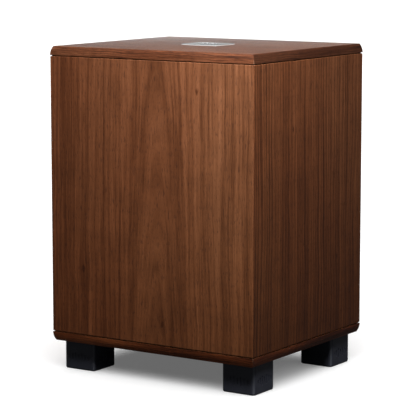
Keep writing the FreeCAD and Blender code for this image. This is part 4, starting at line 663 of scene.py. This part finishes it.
def spider():
    """Corrugated cloth with a soft wave."""
    steps, former, r_in, r_out, rim = 96, 25.4, 30.0, 64.0, 74.5
    low, thick, height, pitch = 62.2, 0.8, 2.2, 8.5
    line = [r_in + (r_out - r_in) * i / steps for i in range(steps + 1)]
    lower = [(r, low + height * math.sin(2 * math.pi * (r - r_in) / pitch)) for r in line]
    upper = [(r, h + thick) for r, h in reversed(lower)]
    profile = [(former, low), *lower, (rim, low), (rim, low + thick), *upper, (former, low + thick)]
    obj = new_piece("spider_cloth", turned("spider_cloth", profile), "spider_cloth")
    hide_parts("spider")
    blend_by_radius(obj, "cone_assembly", r_in, r_out)


def mesh_of(curve):
    """The mesh that a curve or text draws."""
    holder = bpy.data.objects.new(curve.name + "_line", curve)
    bpy.context.scene.collection.objects.link(holder)
    bpy.context.view_layer.update()
    mesh = bpy.data.meshes.new_from_object(holder.evaluated_get(bpy.context.evaluated_depsgraph_get()))
    bpy.data.objects.remove(holder)
    return mesh


def tube(name, points, radius, material):
    """A round lead along a smooth curve drawn by points, all in millimetres."""
    curve = bpy.data.curves.new(name, "CURVE")
    curve.dimensions = "3D"
    curve.bevel_depth = radius * MM
    curve.bevel_resolution = 3
    curve.resolution_u = 16
    curve.use_fill_caps = True
    line = curve.splines.new("NURBS")
    line.points.add(len(points) - 1)
    for point, place in zip(line.points, points):
        point.co = (*(c * MM for c in place), 1)
    line.order_u = 3
    line.use_endpoint_u = True
    mesh = mesh_of(curve)
    mesh.name = name
    mesh.materials.clear()
    return new_piece(name, mesh, material)


def tinsel_leads():
    """Two braided leads, bending between the terminal strip and the cone."""
    radius, cone_end, frame_end = 0.8, 50.0, 96.0
    for side, word in ((-1, "left"), (1, "right")):
        points = [(side * 13, 90, 93.5), (side * 13, 84, 93.5), (side * 13, 76, 93.5), (side * 19, 64, 92.5),
                  (side * 22, 54, 89), (side * 22, 46, 82), (side * 22, 42, 76), (side * 20.9, 36.4, 67.3)]
        obj = tube("tinsel_lead_" + word, points, radius, "tinsel_copper")
        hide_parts("tinsel_leads")
        blend_by_radius(obj, "cone_assembly", cone_end, frame_end)


# ---------------------------------------------------------------- wadding
def batt(centre, width, height, thick, axis, seed):
    """Verts and faces of one puffy batt: flat on the wall side, crowned and lumpy on the other. axis points inwards."""
    rng = random.Random(seed)
    lumps = [(rng.uniform(-1, 1), rng.uniform(-1, 1), rng.uniform(0.1, 0.3), rng.uniform(-0.12, 0.1))
             for _ in range(60)]
    nu, nv = 44, 36
    across = Vector((0, 0, 1)).cross(axis)
    verts, faces = [], []

    def swell(u, v):
        edge = (1 - abs(u) ** 5) * (1 - abs(v) ** 5)
        rise = sum(h * math.exp(-((u - a) ** 2 + (v - b) ** 2) / (w * w)) for a, b, w, h in lumps)
        return thick * max(0.12, min(1.0, edge ** 0.45 * (0.86 + 0.5 * rise)))

    for layer in (0, 1):
        for j in range(nv + 1):
            for i in range(nu + 1):
                u, v = 2 * i / nu - 1, 2 * j / nv - 1
                pull = 1 - 0.03 * abs(u * v)
                depth = swell(u, v) if layer else 0.0
                verts.append(centre + across * (u * width / 2 * pull) + Vector((0, 0, 1)) * (v * height / 2 * pull)
                             + axis * depth)
    per = (nu + 1) * (nv + 1)
    for j in range(nv):
        for i in range(nu):
            a = j * (nu + 1) + i
            quad = (a, a + 1, a + nu + 2, a + nu + 1)
            faces.append(tuple(reversed(quad)))
            faces.append(tuple(q + per for q in quad))
    rim = list(range(nu + 1)) + [j * (nu + 1) + nu for j in range(1, nv + 1)]
    rim += [nv * (nu + 1) + i for i in range(nu - 1, -1, -1)] + [j * (nu + 1) for j in range(nv - 1, 0, -1)]
    for a, b in zip(rim, rim[1:] + rim[:1]):
        faces.append((a, b, b + per, a + per))
    return verts, faces


def wadding():
    """Polyester batts on the front and side walls, each in the space of its CAD solid."""
    low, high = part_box("wadding_pads")
    mid_z, tall = (low.z + high.z) / 2, high.z - low.z
    thick, front_width, side_width, side_centre = 22 * MM, 220 * MM, 160 * MM, 115 * MM
    side_mid = low.y + side_centre
    batts = [(Vector((CENTRE_X, low.y, mid_z)), front_width, Vector((0, 1, 0))),
             (Vector((low.x, side_mid, mid_z)), side_width, Vector((1, 0, 0))),
             (Vector((high.x, side_mid, mid_z)), side_width, Vector((-1, 0, 0)))]
    verts, faces = [], []
    for seed, (centre, width, axis) in enumerate(batts, 4):
        more, sides = batt(centre, width * 0.99, tall * 0.99, thick * 0.97, axis, seed)
        faces += [tuple(k + len(verts) for k in face) for face in sides]
        verts += more
    obj = new_piece("wadding_batts", mesh_from("wadding_batts", verts, faces), "wadding", "cabinet")
    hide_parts("wadding_pads")


# ---------------------------------------------------------------- amplifier panel details
KNOBS = ("lfe_level_knob", "level_knob", "crossover_knob")
INK = 0.05 * MM             # how thick the print is
DIAL_START, DIAL_STEP, DIAL_TICKS = -140, 28, 11        # degrees from straight up, degrees, and how many
TICK_FROM, TICK_TO, LONG_TICK_TO, TICK_WIDTH = 13.2 * MM, 15.2 * MM, 16.6 * MM, 0.45 * MM
DIAL_NUMBER_R, DIAL_NUMBER = 19.4 * MM, 4.2 * MM
SWITCH_NUMBER, FRAME_WIDTH = 3.6 * MM, 0.4 * MM
FRAME_MARGINS = {"phono_jacks": 7.5 * MM, "high_level_socket": 5.0 * MM}
POINTER_FROM, POINTER_TO, POINTER_WIDTH = 2.6 * MM, 7.9 * MM, 0.9 * MM
POINTER_BOTTOM, POINTER_TOP = 0.6 * MM, 0.12 * MM       # both below the knob's face


def bar(verts, faces, a, b, width, y0, y1):
    """A straight printed stroke from a to b, both (x, z), as a thin box between y0 and y1."""
    along = Vector((b[0] - a[0], 0, b[1] - a[1])).normalized()
    side = Vector((along.z, 0, -along.x)) * (width / 2)
    start = len(verts)
    for y in (y0, y1):
        for x, z, sign in ((*a, 1), (*b, 1), (*b, -1), (*a, -1)):
            verts.append(Vector((x, y, z)) + side * sign)
    box = ((0, 1, 2, 3), (7, 6, 5, 4), (0, 4, 5, 1), (1, 5, 6, 2), (2, 6, 7, 3), (3, 7, 4, 0))
    faces += [tuple(start + corner for corner in face) for face in box]


def numeral(verts, faces, text, x, z, size):
    """A generic number printed on the plate, read from behind the cabinet."""
    curve = bpy.data.curves.new("numeral", "FONT")
    curve.body, curve.size = text, size
    curve.align_x, curve.align_y = "CENTER", "CENTER"
    curve.extrude = INK / 2
    mesh = mesh_of(curve)
    start = len(verts)
    verts += [Vector((x - at.co.x, REAR_Y + INK / 2 + at.co.z, z + at.co.y)) for at in mesh.vertices]
    faces += [tuple(start + i for i in face.vertices) for face in mesh.polygons]


def rear_centre(node):
    """The middle of a node's box across the rear plate: (x, z)."""
    low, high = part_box(node)
    return (low.x + high.x) / 2, (low.z + high.z) / 2


def on_dial(centre, step, radius):
    """The place at a dial's step and radius. Steps run clockwise as seen from behind."""
    a = math.radians(DIAL_START + DIAL_STEP * step)
    return centre[0] - radius * math.sin(a), centre[1] + radius * math.cos(a)


def panel_print():
    """Dial ticks with plain numbers round each knob, and frames round the socket groups."""
    verts, faces = [], []
    for name in KNOBS:
        centre = rear_centre(name)
        for i in range(DIAL_TICKS):
            far = TICK_TO if i % 5 else LONG_TICK_TO
            bar(verts, faces, on_dial(centre, i, TICK_FROM), on_dial(centre, i, far), TICK_WIDTH, REAR_Y, REAR_Y + INK)
        for number in (0, 5, 10):
            numeral(verts, faces, str(number), *on_dial(centre, number, DIAL_NUMBER_R), DIAL_NUMBER)
    x, z = rear_centre("phase_switch")
    numeral(verts, faces, "0", x - 9 * MM, z - 4 * MM, SWITCH_NUMBER)
    numeral(verts, faces, "180", x - 10 * MM, z + 4.5 * MM, SWITCH_NUMBER)
    for node, m in FRAME_MARGINS.items():
        low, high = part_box(node)
        corners = [(low.x - m, low.z - m), (high.x + m, low.z - m), (high.x + m, high.z + m), (low.x - m, high.z + m)]
        for a, b in zip(corners, corners[1:] + corners[:1]):
            bar(verts, faces, a, b, FRAME_WIDTH, REAR_Y, REAR_Y + INK)
    new_piece("panel_print", mesh_from("panel_print", verts, faces), "print_white", "cabinet", False)


def knob_pointers():
    """The white filling of each knob's pointer groove."""
    for name in KNOBS:
        x, z = rear_centre(name)
        face_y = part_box(name)[1].y
        verts, faces = [], []
        bar(verts, faces, (x, z + POINTER_FROM), (x, z + POINTER_TO), POINTER_WIDTH, face_y - POINTER_BOTTOM,
            face_y - POINTER_TOP)
        piece = "pointer_" + name
        new_piece(piece, mesh_from(piece, verts, faces), "print_white", name, False)


def main():
    dress_cad_nodes()
    surround()
    spider()
    tinsel_leads()
    wadding()
    panel_print()
    knob_pointers()


main()


# ---------------------------------------------------------------- stage, lights and camera
def area_light(name, place, aim, size, power, colour=(1, 1, 1)):
    """A panel of light at place that faces aim. The camera doesn't see it."""
    data = bpy.data.lights.new(name, "AREA")
    data.shape = "RECTANGLE"
    data.size, data.size_y = size
    data.energy = power
    data.color = colour
    obj = bpy.data.objects.new(name, data)
    obj.location = place
    obj.rotation_euler = (Vector(aim) - Vector(place)).to_track_quat("-Z", "Y").to_euler()
    obj.visible_camera = False
    bpy.context.scene.collection.objects.link(obj)
    return obj


def sun_light(name, strength, spread, tilt):
    """Light from above, spread over an angle and tilted about X and Y, all in degrees."""
    data = bpy.data.lights.new(name, "SUN")
    data.energy, data.angle = strength, math.radians(spread)
    obj = bpy.data.objects.new(name, data)
    obj.rotation_euler = (math.radians(tilt[0]), math.radians(tilt[1]), 0)
    bpy.context.scene.collection.objects.link(obj)
    return obj


def light_only(floor, lights, state):
    """Makes the lights fall on the floor alone ("INCLUDE") or on everything but the floor ("EXCLUDE")."""
    group = bpy.data.collections.new("floor_" + state.lower())
    group.objects.link(floor)
    group.collection_objects[0].light_linking.link_state = state
    for light in lights:
        light.light_linking.receiver_collection = group


def white_floor():
    """A wide sheet of matt white paper, with little light thrown back from it onto the object."""
    size = 40.0
    mesh = mesh_from("floor", [(-size, -size, 0), (size, -size, 0), (size, size, 0), (-size, size, 0)], [(0, 1, 2, 3)])
    floor = bpy.data.objects.new("floor", mesh)
    bpy.context.scene.collection.objects.link(floor)
    s = Shader("floor_paper", 0.9)
    mottle = s.noise(s.place, 3, 2)
    seen = s.nodes.new("ShaderNodeLightPath").outputs["Is Camera Ray"]
    s.set("Base Color", s.mix(seen, s.ramp(mottle, (0.3, 0.05), (0.7, 0.06)), s.ramp(mottle, (0.3, 0.89), (0.7, 0.9))))
    s.set("Specular IOR Level", 0.0)
    s.set("Emission Color", (1, 1, 1, 1))
    s.set("Emission Strength", s.times(seen, 0.135))
    mesh.materials.append(s.mat)
    return floor


def white_studio():
    """A white backdrop, of which the object mirrors little, as when black cards stand round a product."""
    world = bpy.data.worlds.new("studio")
    bpy.context.scene.world = world
    world.use_nodes = True
    nodes, links = world.node_tree.nodes, world.node_tree.links
    nodes.clear()
    out = nodes.new("ShaderNodeOutputWorld")
    background = nodes.new("ShaderNodeBackground")
    background.inputs[0].default_value = (1, 1, 1, 1)
    rays = nodes.new("ShaderNodeLightPath")
    strength = nodes.new("ShaderNodeMapRange")
    strength.inputs["To Min"].default_value = 0.045
    strength.inputs["To Max"].default_value = 1.0
    links.new(rays.outputs["Is Camera Ray"], strength.inputs[0])
    links.new(strength.outputs[0], background.inputs[1])
    links.new(background.outputs[0], out.inputs[0])


def stage():
    """The floor and the backdrop. The floor has its own wide, soft lights. The object has a key light, a light from
    above, a low panel close behind the lid, and fill lights behind it and to its left."""
    floor = white_floor()
    white_studio()
    sky = sun_light("sky", 2.9, 110, (-4, 15))
    slant = sun_light("slant", 1.64, 46, (34, 15))
    top = sun_light("top", 3.0, 50, (-8, -6))
    key = area_light("key", (0.357, -0.42, 0.94), (0.1, -0.12, 0.42), (0.4, 0.3), 18.5, (1.0, 0.985, 0.965))
    back = area_light("back_panel", (-0.16, 0.26, 0.485), (-0.02, 0.06, 0.462), (0.6, 0.036), 0.165)
    rear_fill = area_light("rear_fill", (0.0, 1.3, 0.3), (0.0, 0.0, 0.28), (0.3, 0.3), 9.0)
    rear_fill.visible_glossy = False
    rear_shine = area_light("rear_shine", (0.0, 1.3, 0.34), (0.0, 0.0, 0.28), (0.3, 0.2), 1.6)
    left_fill = area_light("left_fill", (-1.3, 0.0, 0.3), (0.0, 0.0, 0.28), (0.25, 0.3), 11.0)
    light_only(floor, [sky, slant], "INCLUDE")
    light_only(floor, [top, key, back, rear_fill, rear_shine, left_fill], "EXCLUDE")


def camera():
    """A long lens, a little above the lid, turned towards the front and the right side."""
    distance, azimuth, height, pitch = 2.774, math.radians(33.32), 0.625, math.radians(8.175)
    data = bpy.data.cameras.new("camera")
    data.lens, data.sensor_width = 170.9, 36.0
    data.clip_end = 200
    obj = bpy.data.objects.new("camera", data)
    place = Vector((CENTRE_X + distance * math.sin(azimuth), CENTRE_Y - distance * math.cos(azimuth), height))
    look = Vector((-math.sin(azimuth) * math.cos(pitch), math.cos(azimuth) * math.cos(pitch), -math.sin(pitch)))
    obj.location = place
    obj.rotation_euler = look.to_track_quat("-Z", "Y").to_euler()
    bpy.context.scene.collection.objects.link(obj)
    bpy.context.scene.camera = obj


stage()
camera()
bpy.context.scene.view_settings.view_transform = "Standard"
